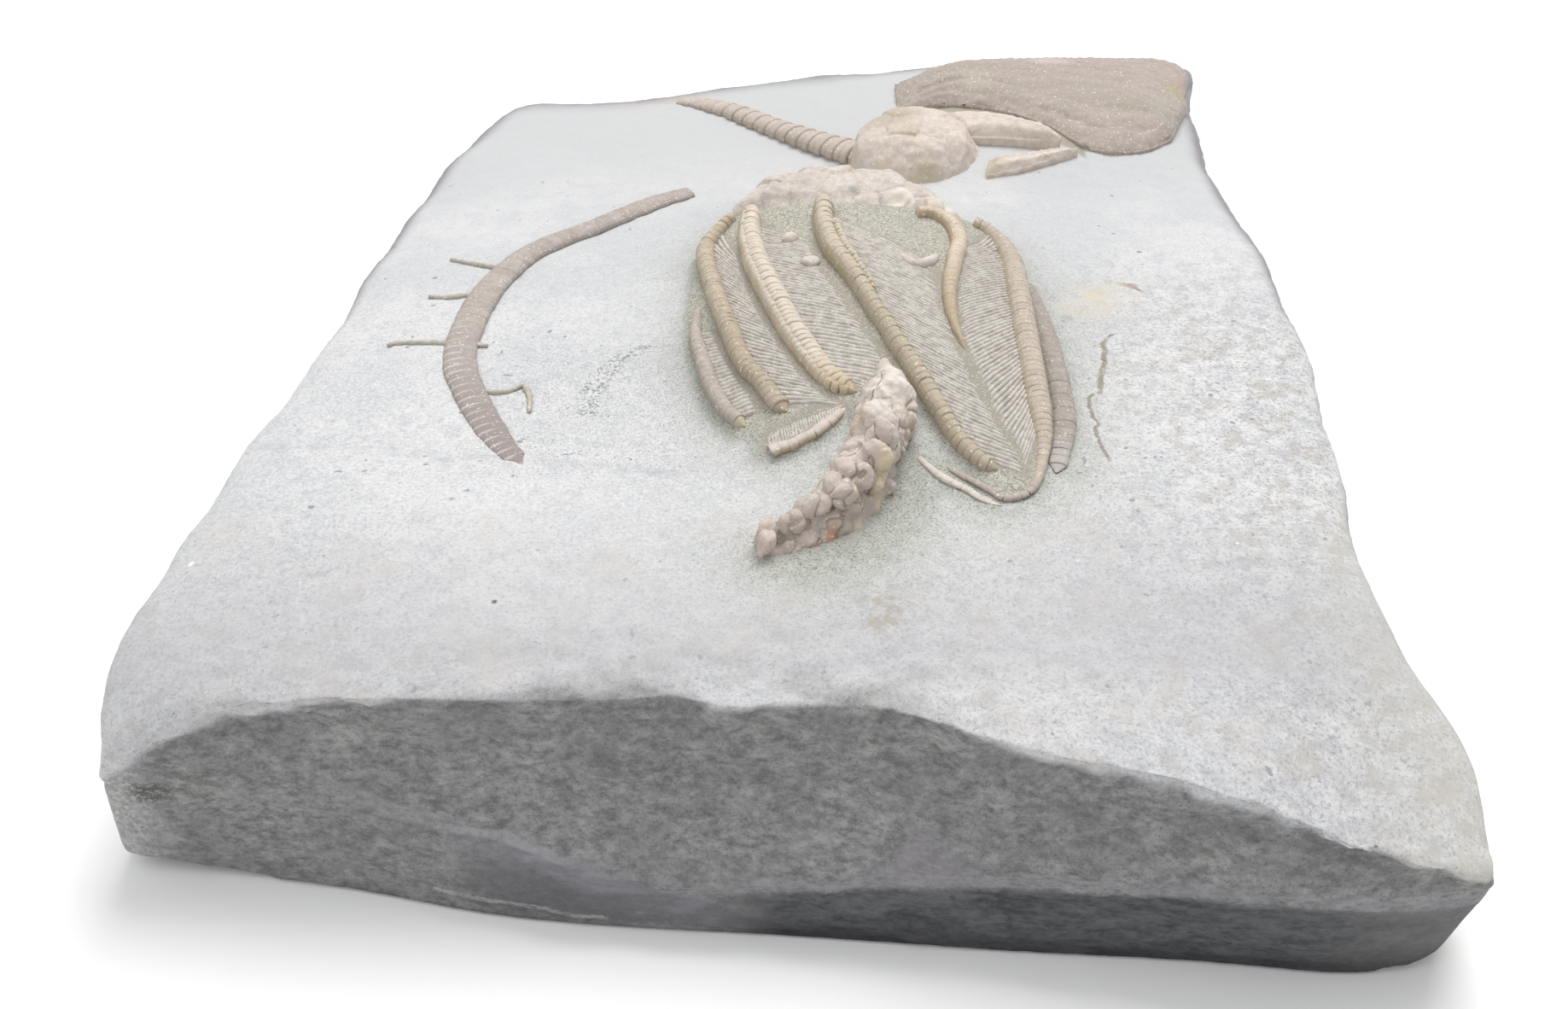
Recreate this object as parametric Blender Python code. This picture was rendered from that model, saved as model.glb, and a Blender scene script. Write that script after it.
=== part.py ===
"""Crinoid fossil plate: two crinoid crowns and a loose stem lying on a split block of siltstone.

The frame is +Z up, with the origin at the middle of the block's flat base. X runs across the plate and
Y runs away from the broken front face. Sizes below are in millimetres, and the objects are in metres.
"""

import math

import bmesh
import bpy
import numpy as np
from mathutils.bvhtree import BVHTree

MM = 0.001

# Driving dimensions of the block of rock
FACE_HEIGHT = 19.0  # bedding face that the fossils lie on, above the base
MIDDLE = (0.33, 3.56)  # middle of the block, which becomes the origin
EDGE_ROUND = 4.5  # width of the worn edge of the bedding face
CAP_COLUMNS = 27
CAP_ROWS = 32

# The rows and columns of the face crowd together where the main crown lies
SHARES = (0.0, 0.25, 0.78, 1.0)
COLUMN_PLACES = (0.0, 0.35, 0.78, 1.0)
ROW_PLACES = (0.0, 0.17, 0.70, 1.0)

# Rings of the wall below the rim. On the sides: share of the rim height, and how far out it swells. On the
# front: whether it is above the ridge, share of the way down that part, and how far it is hollowed.
WALL_RINGS = [
    {"side_height": 0.84, "side_out": 0.4, "above_ridge": True, "front_share": 0.45, "front_hollow": 1.3},
    {"side_height": 0.50, "side_out": 0.8, "above_ridge": True, "front_share": 1.0, "front_hollow": 0.0},
    {"side_height": 0.22, "side_out": 0.6, "above_ridge": False, "front_share": 0.35, "front_hollow": 0.5},
    {"side_height": 0.05, "side_out": 0.1, "above_ridge": False, "front_share": 0.85, "front_hollow": -0.1},
    {"side_height": 0.00, "side_out": -0.5, "above_ridge": False, "front_share": 1.0, "front_hollow": 0.3},
]
SIDE_CHIPS = 0.3  # how far the side walls wander in and out
CORNER_REACH = 9.0  # along the side walls, how far the front face draws them with it
SIDE_SAMPLES = 40  # points along each side of the rim, to measure distances from it

# Every fossil keeps this gap to the rock that it lies on
GAP = 0.4

# The rim of the bedding face, seen from above: x, y and how far the worn edge drops there
RIM_LEFT = [
    (-49.4, -55.0, 2.7), (-50.5, -50.0, 2.4), (-50.1, -43.0, 2.2), (-48.7, -34.0, 2.0), (-47.9, -22.0, 2.0),
    (-46.4, -14.5, 2.0), (-44.8, -1.0, 2.0), (-43.6, 16.0, 2.0), (-41.0, 36.0, 2.0), (-38.4, 47.5, 2.0),
    (-34.0, 55.5, 2.0),
]
RIM_BACK = [
    (-34.0, 55.5, 2.0), (-28.0, 57.6, 1.8), (-18.0, 59.4, 1.8), (-7.5, 63.5, 1.8), (12.5, 68.5, 1.8),
    (25.5, 71.0, 1.8), (40.0, 72.3, 1.8), (51.8, 71.2, 1.8),
]
RIM_RIGHT = [
    (46.6, -65.6, 1.2), (47.6, -61.0, 2.0), (47.5, -55.5, 2.4), (44.8, -48.0, 2.2), (43.8, -41.0, 2.0),
    (45.0, -33.0, 2.0), (46.6, -22.5, 2.0), (48.5, -8.0, 2.0), (49.2, 5.0, 2.0), (49.3, 18.0, 2.0),
    (48.4, 36.0, 2.0), (49.8, 52.0, 2.0), (51.8, 71.2, 1.8),
]
RIM_FRONT = [
    (-49.4, -55.0, 2.7), (-42.3, -54.7, 1.9), (-35.2, -54.5, 0.8), (-20.0, -55.1, 0.6), (-8.1, -54.6, 0.6),
    (-5.1, -55.8, 0.6), (4.4, -55.5, 0.6), (13.7, -59.0, 0.8), (21.0, -60.8, 0.8), (32.2, -64.0, 0.8),
    (38.7, -65.6, 0.5), (46.6, -65.6, 1.2),
]

# The front face is a fresh break: a ridge runs across it, and it meets the base along its own line
FRONT_RIDGE = [
    (-50.7, -55.5, 10.0), (-38.0, -55.2, 11.0), (-27.0, -57.4, 7.6), (-19.0, -59.2, 6.6), (-11.0, -60.6, 4.8),
    (0.0, -61.2, 6.0), (10.0, -61.8, 8.4), (20.0, -63.4, 9.0), (28.0, -64.8, 9.8), (38.0, -65.9, 9.6),
    (48.4, -63.4, 8.0),
]
FRONT_BASE = [
    (-51.4, -54.2), (-34.4, -56.5), (-24.2, -58.9), (-15.9, -60.0), (0.4, -61.2), (11.4, -62.2),
    (29.3, -63.5), (39.5, -64.6), (45.6, -63.4),
]

# Relief of the bedding face
CROWN_MOUND = {
    "x": 6.9, "y": -2.5, "half_width": 17.6, "half_length": 30.0, "height": 4.7, "lean": 0.12, "power": 2.4,
    "foot": 0.22,
}
CROWN_MOAT = {"depth": 0.5, "width": 0.4, "until_y": 8.0}
SECOND_MOUND = {"x": 27.0, "y": 47.0, "half_width": 27.0, "half_length": 19.0, "height": 1.6}
NEAR_SWELL = {"from_y": -19.0, "to_y": -33.0, "rise": 0.6}
NEAR_SLOPE = {"from_y": -34.0, "to_y": -66.0, "fall": 2.2}
STEM_HOLLOW = {"x": -19.0, "y": -17.0, "radius": 9.0, "depth": 0.8}
LEFT_CORNER = {"x": -52.0, "y": -59.0, "radius": 17.0, "fall": 2.5}
RIGHT_CORNER = {"x": 50.0, "y": -70.0, "radius": 27.0, "fall": 6.5}

# Colours, as base colour and roughness
ROCK = ((0.58, 0.58, 0.57), 0.92)
CREAM = ((0.62, 0.54, 0.42), 0.75)
BUFF = ((0.60, 0.50, 0.42), 0.78)
ROSE = ((0.66, 0.55, 0.49), 0.75)
MAUVE = ((0.45, 0.38, 0.33), 0.80)

# Arms of the main crown: centre line from the cup to the tip, half width and height there
ARMS = {
    "main_arm_1": {
        "route": [(-9.5, -1.8), (-9.5, -6.0), (-8.7, -10.5), (-7.5, -15.0), (-6.4, -18.5), (-5.2, -20.7),
                  (-4.2, -21.9)],
        "half_width": (0.4, 0.75, 0.55), "height": (0.6, 1.3, 1.2), "rows": 14,
        "fan": [(-8.3, -6.0), (-7.4, -8.5), (-6.5, -12.0), (-5.4, -15.0), (-4.3, -17.3), (-3.7, -20.0)],
        "fan_span": (0.28, 0.9),
    },
    "main_arm_2": {
        "route": [(-6.5, 13.6), (-8.1, 10.9), (-8.9, 8.5), (-8.6, 5.0), (-7.8, 0.5), (-6.9, -4.3),
                  (-6.0, -8.0), (-5.0, -12.0), (-4.0, -14.6), (-2.9, -16.4), (-2.1, -18.3), (-0.5, -20.3)],
        "half_width": (0.65, 0.9, 0.75), "height": (1.3, 1.7, 1.3), "rows": 20,
        "fan": [(-6.3, 9.2), (-5.7, 5.0), (-5.0, 0.5), (-4.0, -4.0), (-3.0, -7.5), (-1.8, -11.0),
                (-0.6, -14.5), (0.6, -17.5), (1.6, -19.2)],
        "fan_span": (0.12, 0.93),
    },
    "main_arm_3": {
        "route": [(-4.4, 12.9), (-4.4, 8.0), (-3.7, 3.0), (-2.7, -1.7), (-1.4, -6.4), (-0.4, -9.8),
                  (0.8, -13.0), (2.0, -16.0), (3.2, -18.4), (4.4, -19.7), (5.2, -20.1)],
        "half_width": (0.9, 1.15, 0.8), "height": (1.7, 1.9, 1.3), "rows": 20,
        "fan": [(1.5, 8.5), (2.3, 3.0), (4.0, -2.5), (5.3, -7.0), (6.5, -11.0), (7.0, -14.0),
                (6.6, -16.2), (5.9, -17.8)],
        "fan_span": (0.1, 0.86),
    },
    "main_arm_4": {
        "route": [(3.1, 12.2), (3.2, 7.0), (4.0, 2.7), (5.0, -0.5), (6.2, -4.3), (7.3, -8.3), (8.4, -11.7),
                  (9.4, -14.5), (10.4, -17.4), (11.3, -20.4), (12.2, -23.0), (13.0, -25.3), (14.0, -27.3),
                  (15.1, -28.8), (16.2, -29.5)],
        "half_width": (1.15, 1.2, 0.7), "height": (2.0, 2.0, 1.3), "rows": 24,
        "fan": [(7.5, 9.0), (10.0, 5.0), (12.0, 1.5), (12.6, -2.0), (12.5, -5.2), (13.0, -9.3),
                (14.0, -12.9), (15.4, -17.5), (16.3, -22.0), (16.8, -25.5), (17.0, -28.0)],
        "fan_span": (0.16, 0.93),
    },
    "main_arm_5": {
        "route": [(15.9, 10.4), (16.1, 6.3), (15.2, 2.0), (14.2, -2.0), (13.9, -5.2), (14.3, -9.3),
                  (15.1, -12.6)],
        "half_width": (0.8, 0.8, 0.3), "height": (1.7, 1.5, 0.8), "rows": 12,
    },
    "main_arm_6": {
        "route": [(18.6, 11.7), (20.4, 8.9), (21.4, 5.0), (21.6, -0.5), (21.4, -5.0), (21.3, -9.8),
                  (21.1, -14.8), (20.8, -19.3), (20.5, -23.6), (20.1, -27.5), (19.5, -30.8), (18.0, -32.9),
                  (16.2, -32.2), (14.9, -30.9), (13.9, -29.9)],
        "half_width": (0.85, 0.9, 0.4), "height": (1.6, 1.7, 0.6), "rows": 26, "fan_side": -1,
        "fan": [(17.8, 5.0), (16.9, 2.0), (15.7, -2.0), (15.3, -5.2), (15.5, -9.3), (16.2, -13.0),
                (16.7, -17.5), (17.3, -22.0), (17.7, -25.5), (18.0, -28.5)],
        "fan_span": (0.06, 0.72),
    },
    "main_arm_7": {
        "route": [(23.3, 0.5), (23.5, -5.0), (23.6, -10.8), (23.5, -16.6), (23.1, -22.0), (22.5, -26.2),
                  (21.6, -29.6), (20.8, -31.8)],
        "half_width": (0.4, 0.7, 0.5), "height": (0.5, 1.2, 0.7), "rows": 12,
    },
    "buried_arm_tip": {
        "route": [(11.4, -29.2), (12.4, -31.1), (13.6, -32.6), (15.1, -33.7), (16.6, -34.2)],
        "half_width": (0.3, 0.4, 0.3), "height": (0.3, 0.5, 0.3), "rows": 8,
    },
    "broken_arm": {
        "route": [(-2.2, -27.5), (0.3, -26.5), (2.1, -25.3), (3.0, -23.8)],
        "half_width": (0.9, 0.8, 0.6), "height": (1.2, 1.3, 0.9), "rows": 8,
        "fan": [(-2.8, -23.3), (-1.2, -22.2), (0.6, -21.6), (2.4, -21.9)],
        "fan_span": (0.0, 1.0),
    },
}
ARM_PROFILE = [(-1.0, 0.25), (-0.62, 0.86), (0.0, 1.05), (0.62, 0.86), (1.0, 0.36)]
BRACHIAL_RIPPLE = 0.06
FAN_HEIGHT = (0.5, 0.32)
FAN_RIPPLE = 0.12

# The cup of the main crown lies between a near line, where the arms leave it, and a far line
CUP_NEAR = [
    (-6.7, 15.0), (-4.4, 14.3), (-1.0, 14.6), (3.1, 13.8), (6.0, 13.6), (8.5, 14.4), (11.5, 13.3),
    (14.0, 11.6), (17.4, 12.8),
]
CUP_FAR = [
    (-7.2, 16.0), (-5.4, 19.0), (-2.6, 22.0), (1.2, 24.6), (5.4, 25.8), (9.4, 24.8), (12.6, 21.8),
    (15.4, 18.2), (17.8, 14.4),
]
CUP = {"height": 3.6, "rows": 20, "columns": 6}

ANAL_TUBE = {
    "route": [(7.5, -17.7), (7.9, -20.5), (7.7, -24.0), (7.0, -27.3), (6.0, -30.5), (4.7, -33.2),
              (3.1, -35.5), (1.2, -37.4), (-0.9, -38.8), (-3.2, -39.8)],
    "half_width": (0.9, 2.8, 1.3), "height": (1.2, 4.3, 1.7), "rows": 26,
}
TUBE_PROFILE = [
    (-1.0, 0.12), (-0.94, 0.46), (-0.66, 0.8), (-0.24, 0.99), (0.24, 0.99), (0.66, 0.8), (0.94, 0.46),
    (1.0, 0.12),
]

# Loose plates of the crown: x, y, half size, turn in degrees, and the height of the fan under them
CHIPS = {
    "plate_chip_1": (-0.6, 8.6, 0.8, 20.0, 1.0),
    "plate_chip_2": (1.2, 4.6, 0.7, -15.0, 1.0),
    "plate_chip_3": (12.9, 5.5, 1.3, 10.0, 0.0),
}
CHIP_HEIGHT = 0.6

STEMS = {
    "second_stem": {
        "route": [(-14.6, 54.6), (-12.2, 53.0), (-9.4, 50.6), (-6.4, 47.9), (-3.6, 45.0), (-0.9, 42.3),
                  (1.9, 39.2), (4.4, 36.6)],
        "half_width": (1.0, 1.5, 1.5), "height": (0.4, 1.6, 1.7), "rows": 20, "ripple": 0.14,
    },
    "loose_stem": {
        "route": [(-11.5, 26.8), (-14.7, 24.3), (-18.6, 20.6), (-21.7, 17.6), (-24.6, 15.0), (-27.0, 12.1),
                  (-28.7, 8.8), (-30.1, 4.9), (-30.9, 0.6), (-31.2, -3.8), (-31.2, -7.7), (-30.5, -11.7),
                  (-29.2, -15.3), (-27.7, -18.9), (-26.1, -22.3), (-24.5, -25.3), (-22.8, -27.8)],
        "half_width": (1.2, 1.55, 0.9), "height": (1.0, 1.5, 0.8), "rows": 32, "ripple": 0.08,
    },
}

# Side shoots of the loose stem, each starting inside it
CIRRI = [
    [(-29.0, 8.8), (-31.5, 9.4), (-33.2, 9.9), (-35.2, 10.6)],
    [(-30.6, 3.4), (-32.7, 3.0), (-34.4, 2.6), (-36.0, 2.6)],
    [(-31.2, -6.3), (-33.6, -6.4), (-35.8, -6.5), (-37.9, -6.5)],
    [(-29.4, -15.0), (-27.2, -15.5), (-25.8, -15.2), (-24.6, -14.0)],
]
CIRRUS = {"half_width": (0.45, 0.4, 0.3), "height": (0.7, 0.6, 0.4), "rows": 4}
CIRRUS_PROFILE = [(-1.0, 0.5), (0.0, 1.0), (1.0, 0.5)]

# The second crown: a cup, and three bundles of arms between a near and a far line
SECOND_CUP = {
    "x": 13.6, "y": 35.6, "half_width": 7.9, "half_length": 6.6, "height": 4.4, "rows": 12, "columns": 10,
}
BUNDLES = {
    "second_arms_upper": {
        "near": [(12.6, 47.4), (18.6, 48.8), (24.0, 47.4), (29.5, 42.8), (34.0, 35.6), (40.0, 35.6),
                 (44.5, 39.6)],
        "far": [(12.8, 57.0), (19.0, 61.6), (26.0, 64.4), (33.0, 66.2), (41.0, 67.4), (48.4, 65.6),
                (48.6, 50.5)],
        "height": 2.2, "rows": 20, "columns": 8,
    },
    "second_arms_middle": {
        "near": [(22.2, 37.6), (25.0, 36.9), (28.0, 36.2), (30.6, 35.6)],
        "far": [(19.6, 44.2), (23.4, 43.4), (26.9, 41.0), (30.9, 36.5)],
        "height": 2.4, "rows": 10, "columns": 6,
    },
    "second_arms_lower": {
        "near": [(21.6, 29.9), (24.6, 30.5), (28.0, 31.8), (32.6, 34.4)],
        "far": [(22.2, 33.0), (25.4, 33.7), (28.6, 34.3), (32.4, 34.9)],
        "height": 1.1, "rows": 8, "columns": 4,
    },
}


def smooth(value, start, end):
    """0 at start, 1 at end, with a soft turn at both."""
    t = min(1.0, max(0.0, (value - start) / (end - start)))
    return t * t * (3.0 - 2.0 * t)


def along(points, share):
    """The point at this share of the way along a smooth curve through the points."""
    steps = [math.dist(a[:2], b[:2]) for a, b in zip(points, points[1:])]
    left = share * sum(steps)
    for index, step in enumerate(steps):
        if left <= step or index == len(steps) - 1:
            break
        left -= step
    t = min(1.0, max(0.0, left / step))
    before = points[max(index - 1, 0)]
    start, end = points[index], points[index + 1]
    after = points[min(index + 2, len(points) - 1)]
    blends = (
        (2.0 * b, c - a, 2.0 * a - 5.0 * b + 4.0 * c - d, 3.0 * b - a - 3.0 * c + d)
        for a, b, c, d in zip(before, start, end, after)
    )
    return tuple(0.5 * sum(factor * t**power for power, factor in enumerate(blend)) for blend in blends)


def across(points, share):
    """Unit vector across the curve there, pointing to the right of someone who walks along it towards -Y."""
    x0, y0 = along(points, max(0.0, share - 0.01))[:2]
    x1, y1 = along(points, min(1.0, share + 0.01))[:2]
    length = math.hypot(x1 - x0, y1 - y0)
    return (-(y1 - y0) / length, (x1 - x0) / length)


def from_three(values, share):
    """Blend of a start, middle and end value: the middle one holds over most of the length."""
    start, middle, end = values
    near_start = 1.0 - smooth(share, 0.0, 0.28)
    near_end = smooth(share, 0.62, 1.0)
    return middle + (start - middle) * near_start + (end - middle) * near_end


def rim_samples():
    """Points round the rim of the bedding face, each with the drop of the worn edge."""
    samples = []
    for side in (RIM_LEFT, RIM_BACK, list(reversed(RIM_RIGHT)), list(reversed(RIM_FRONT))):
        samples += [along(side, index / (SIDE_SAMPLES - 1)) for index in range(SIDE_SAMPLES)]
    return samples


RIM = rim_samples()


def worn_edge(x, y):
    """How far the worn edge lowers the face at x, y."""
    distance, drop = min((math.hypot(x - px, y - py), drop) for px, py, drop in RIM)
    inward = max(0.0, 1.0 - distance / EDGE_ROUND)
    return drop * (1.0 - math.sqrt(max(0.0, 1.0 - inward * inward)))


def bump(shape, x, y):
    """1 at the middle of a round patch and 0 at its edge."""
    distance = math.hypot(x - shape["x"], y - shape["y"]) / shape["radius"]
    return 1.0 - smooth(distance, 0.0, 1.0)


def mound_reach(x, y):
    """0 on the spine of the crown's mound and 1 at its foot."""
    shape = CROWN_MOUND
    spine = shape["x"] - shape["lean"] * (y - shape["y"])
    sideways, lengthways = (x - spine) / shape["half_width"], (y - shape["y"]) / shape["half_length"]
    return abs(sideways) ** shape["power"] + abs(lengthways) ** shape["power"]


def ground(x, y):
    """Height of the bedding face at x, y."""
    height = FACE_HEIGHT
    reach = mound_reach(x, y)
    rise = 1.0 - reach
    height += CROWN_MOUND["height"] * 0.5 * (rise + math.hypot(rise, CROWN_MOUND["foot"]))
    moat = CROWN_MOAT["depth"] * math.exp(-(((reach - 1.25) / CROWN_MOAT["width"]) ** 2))
    height -= moat * smooth(y, CROWN_MOAT["until_y"] + 12.0, CROWN_MOAT["until_y"])
    second = SECOND_MOUND
    reach = ((x - second["x"]) / second["half_width"]) ** 2 + ((y - second["y"]) / second["half_length"]) ** 2
    height += second["height"] * (1.0 - smooth(reach, 0.2, 1.2))
    height += NEAR_SWELL["rise"] * smooth(y, NEAR_SWELL["from_y"], NEAR_SWELL["to_y"])
    height -= NEAR_SLOPE["fall"] * smooth(y, NEAR_SLOPE["from_y"], NEAR_SLOPE["to_y"])
    height -= STEM_HOLLOW["depth"] * bump(STEM_HOLLOW, x, y)
    height -= LEFT_CORNER["fall"] * bump(LEFT_CORNER, x, y)
    height -= RIGHT_CORNER["fall"] * bump(RIGHT_CORNER, x, y)
    height += 0.25 * math.sin(0.11 * x + 1.0) * math.cos(0.09 * y)
    return height - worn_edge(x, y)


def material(name, look):
    colour, roughness = look
    made = bpy.data.materials.new(name)
    made.use_nodes = True
    shader = made.node_tree.nodes["Principled BSDF"]
    shader.inputs["Base Color"].default_value = (*colour, 1.0)
    shader.inputs["Roughness"].default_value = roughness
    shader.inputs["Metallic"].default_value = 0.0
    return made


def finish(name, shape, look, collection):
    """Turns a mesh in millimetres into a named object in metres."""
    bmesh.ops.recalc_face_normals(shape, faces=shape.faces)
    bmesh.ops.translate(shape, vec=(-MIDDLE[0], -MIDDLE[1], 0.0), verts=shape.verts)
    bmesh.ops.scale(shape, vec=(MM, MM, MM), verts=shape.verts)
    mesh = bpy.data.meshes.new(name)
    shape.to_mesh(mesh)
    shape.free()
    mesh.shade_smooth()
    mesh.set_sharp_from_angle(angle=math.radians(50))
    made = bpy.data.objects.new(name, mesh)
    made.data.materials.append(material(name, look))
    collection.objects.link(made)
    return made


def relief(rock, columns, rows, place, seams=()):
    """A closed solid that lies on the rock. For each share of the columns and rows, place gives x, y and the
    height above the rock. The underside keeps only its outer lines and the seams, which are column numbers."""
    shape = bmesh.new()
    bmesh.ops.create_grid(shape, x_segments=columns, y_segments=rows, size=0.5)
    column_of = shape.verts.layers.int.new("column")
    for point in shape.verts:
        column_share, row_share = point.co.x + 0.5, point.co.y + 0.5
        point[column_of] = round(column_share * columns)
        x, y, height = place(column_share, row_share)
        point.co = (x, y, rock(x, y) + GAP + height)
    underside = bmesh.ops.extrude_face_region(shape, geom=list(shape.faces), use_keep_orig=True)["geom"]
    for item in underside:
        if isinstance(item, bmesh.types.BMVert):
            item.co.z = rock(item.co.x, item.co.y) + GAP
    kept = {0, columns, *seams}
    spare = []
    for item in underside:
        if isinstance(item, bmesh.types.BMEdge):
            ends = {point[column_of] for point in item.verts}
            if len(ends) == 1 and not ends & kept:
                spare.append(item)
    bmesh.ops.dissolve_edges(shape, edges=spare, use_verts=True)
    return shape


def arm(rock, shape):
    """An arm of the crown, with its beaded back and, where it has one, the fan of its side branches."""
    route, rows = shape["route"], shape["rows"]
    side_of_fan = shape.get("fan_side", 1)  # 1 where the fan lies towards +X, and -1 where it lies towards -X
    fan = shape.get("fan")
    arm_columns = len(ARM_PROFILE) - 1
    fan_columns = len(FAN_HEIGHT) if fan else 0
    columns = arm_columns + fan_columns

    def place(column_share, row_share):
        column = round(column_share * columns)
        row = round(row_share * rows)
        x, y = along(route, row_share)
        out_x, out_y = (side_of_fan * part for part in across(route, row_share))
        half_width = from_three(shape["half_width"], row_share)
        ripple = 1.0 + BRACHIAL_RIPPLE * (1 if row % 2 else -1)
        height = from_three(shape["height"], row_share) * ripple
        side, share = ARM_PROFILE[min(column, arm_columns)]
        edge_x, edge_y = x + out_x * half_width * side, y + out_y * half_width * side
        if column <= arm_columns:
            return edge_x, edge_y, height * share
        start, end = shape["fan_span"]
        reach = min(1.0, max(0.0, (row_share - start) / (end - start)))
        fan_x, fan_y = along(fan, reach)
        closing = smooth(row_share, start - 0.06, start + 0.02) * smooth(row_share, end + 0.06, end - 0.02)
        step = (column - arm_columns) / fan_columns
        stub_x, stub_y = edge_x + out_x * 0.12 * step, edge_y + out_y * 0.12 * step
        fan_x = edge_x + (fan_x - edge_x) * step
        fan_y = edge_y + (fan_y - edge_y) * step
        height = FAN_HEIGHT[column - arm_columns - 1] + (FAN_RIPPLE if row % 2 else 0.0)
        return stub_x + (fan_x - stub_x) * closing, stub_y + (fan_y - stub_y) * closing, height

    return relief(rock, columns, rows, place, seams=(arm_columns, arm_columns + 1) if fan else ())


def tube(rock, shape, profile, ripple_at):
    """A tapered ridge along a route, whose height and width are rippled."""
    route, rows = shape["route"], shape["rows"]

    def place(column_share, row_share):
        x, y = along(route, row_share)
        right_x, right_y = across(route, row_share)
        row, column = round(row_share * rows), round(column_share * (len(profile) - 1))
        side, share = profile[column]
        swell = ripple_at(row, column)
        half_width = from_three(shape["half_width"], row_share)
        if abs(side) > 0.9:
            half_width += 0.5 * (swell - 1.0) * half_width
        height = from_three(shape["height"], row_share) * share
        return x + right_x * half_width * side, y + right_y * half_width * side, height * swell

    return relief(rock, len(profile) - 1, rows, place, seams=(len(profile) // 2,))


def plain(row, column):
    """No ripple."""
    return 1.0


def beads(shape):
    """Ripple of a stem: every other ring stands proud."""
    return lambda row, column: 1.0 + (shape["ripple"] if row % 2 else 0.0)


def knobbly(row, column):
    """Height of the knobs of the anal tube: plates set in a brick pattern."""
    shifted = row + (1 if column % 4 >= 2 else 0)
    return 1.0 + (0.1 if shifted % 2 else -0.08)


def between(rock, near, far, shape, height_at):
    """A raised patch between a near and a far line."""

    def place(column_share, row_share):
        x0, y0 = along(near, row_share)
        x1, y1 = along(far, row_share)
        x, y = x0 + (x1 - x0) * column_share, y0 + (y1 - y0) * column_share
        return x, y, height_at(column_share, row_share)

    return relief(rock, shape["columns"], shape["rows"], place, seams=range(0, shape["columns"], 2))


def cup_height(column_share, row_share):
    """The cup is a low vault, highest behind the middle arms, and stepped where its plates meet."""
    rise = 0.25 + 0.75 * smooth(column_share, 0.0, 0.6)
    fall = math.sqrt(max(0.0, 1.0 - max(0.0, (column_share - 0.6) / 0.4) ** 2.2))
    ends = (1.0 - abs(2.0 * row_share - 1.0) ** 2.6) * 0.75 + 0.25
    step = 1.0 + 0.07 * math.sin(row_share * 40.0)
    return max(0.25, CUP["height"] * rise * fall * ends * step)


def bundle_height(shape):
    """A bundle of arms: ridges that run from end to end, falling away at both edges."""

    def height(column_share, row_share):
        column = round(column_share * shape["columns"])
        edge = math.sin(math.pi * (0.06 + 0.88 * column_share)) ** 0.5
        ends = smooth(row_share, -0.12, 0.14) * (1.0 - 0.45 * smooth(row_share, 0.75, 1.1))
        ripple = 0.2 if column % 2 else -0.15
        return max(0.25, shape["height"] * edge * ends + ripple)

    return height


def second_cup(rock):
    """The cup of the second crown: a dome with flat plates."""
    shape = SECOND_CUP

    def place(column_share, row_share):
        u, v = 2.0 * column_share - 1.0, 2.0 * row_share - 1.0
        round_u = u * math.sqrt(max(0.0, 1.0 - v * v / 2.0))
        round_v = v * math.sqrt(max(0.0, 1.0 - u * u / 2.0))
        reach = min(1.0, math.hypot(round_u, round_v))
        plates = 0.22 * math.sin(round_u * 7.0) * math.sin(round_v * 6.0 + 1.0) * (1.0 - reach)
        height = shape["height"] * math.sqrt(max(0.0, 1.0 - reach**2.2)) + plates
        x = shape["x"] + shape["half_width"] * round_u
        y = shape["y"] + shape["half_length"] * round_v
        return x, y, max(0.25, height)

    return relief(rock, shape["columns"], shape["rows"], place, seams=range(0, shape["columns"], 2))


def chip(rock, x, y, half_size, turn, lift):
    """A loose plate: a six-sided flake lying on the rock."""
    shape = bmesh.new()
    bmesh.ops.create_cone(
        shape, cap_ends=True, segments=6, radius1=half_size, radius2=half_size * 0.75, depth=CHIP_HEIGHT
    )
    tilt = math.radians(turn)
    for point in shape.verts:
        dx, dy = point.co.x, point.co.y * 0.65
        point.co.x = x + dx * math.cos(tilt) - dy * math.sin(tilt)
        point.co.y = y + dx * math.sin(tilt) + dy * math.cos(tilt)
        thickness = CHIP_HEIGHT if point.co.z > 0 else 0.0
        point.co.z = rock(point.co.x, point.co.y) + GAP + lift + thickness
    return shape


def cap_point(u, v):
    """Point of the bedding face at share u from left to right and v from front to back."""
    left, right = along(RIM_LEFT, v), along(RIM_RIGHT, v)
    front, back = along(RIM_FRONT, u), along(RIM_BACK, u)
    corners = (RIM_LEFT[0], RIM_RIGHT[0], RIM_LEFT[-1], RIM_RIGHT[-1])
    weights = ((1 - u) * (1 - v), u * (1 - v), (1 - u) * v, u * v)
    x, y = (
        (1 - v) * front[i] + v * back[i] + (1 - u) * left[i] + u * right[i]
        - sum(corner[i] * weight for corner, weight in zip(corners, weights))
        for i in (0, 1)
    )
    return (x, y, ground(x, y))


def front_wall(u, ring):
    """Point of the broken front face on a ring."""
    rim = cap_point(u, 0.0)
    ridge, foot = along(FRONT_RIDGE, u), (*along(FRONT_BASE, u), 0.0)
    upper, lower = (rim, ridge) if ring["above_ridge"] else (ridge, foot)
    x, y, z = (a + (b - a) * ring["front_share"] for a, b in zip(upper, lower))
    ends = smooth(u, 0.0, 0.08) * smooth(u, 1.0, 0.9)
    return (x, y + ring["front_hollow"] * ends, z)


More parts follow.
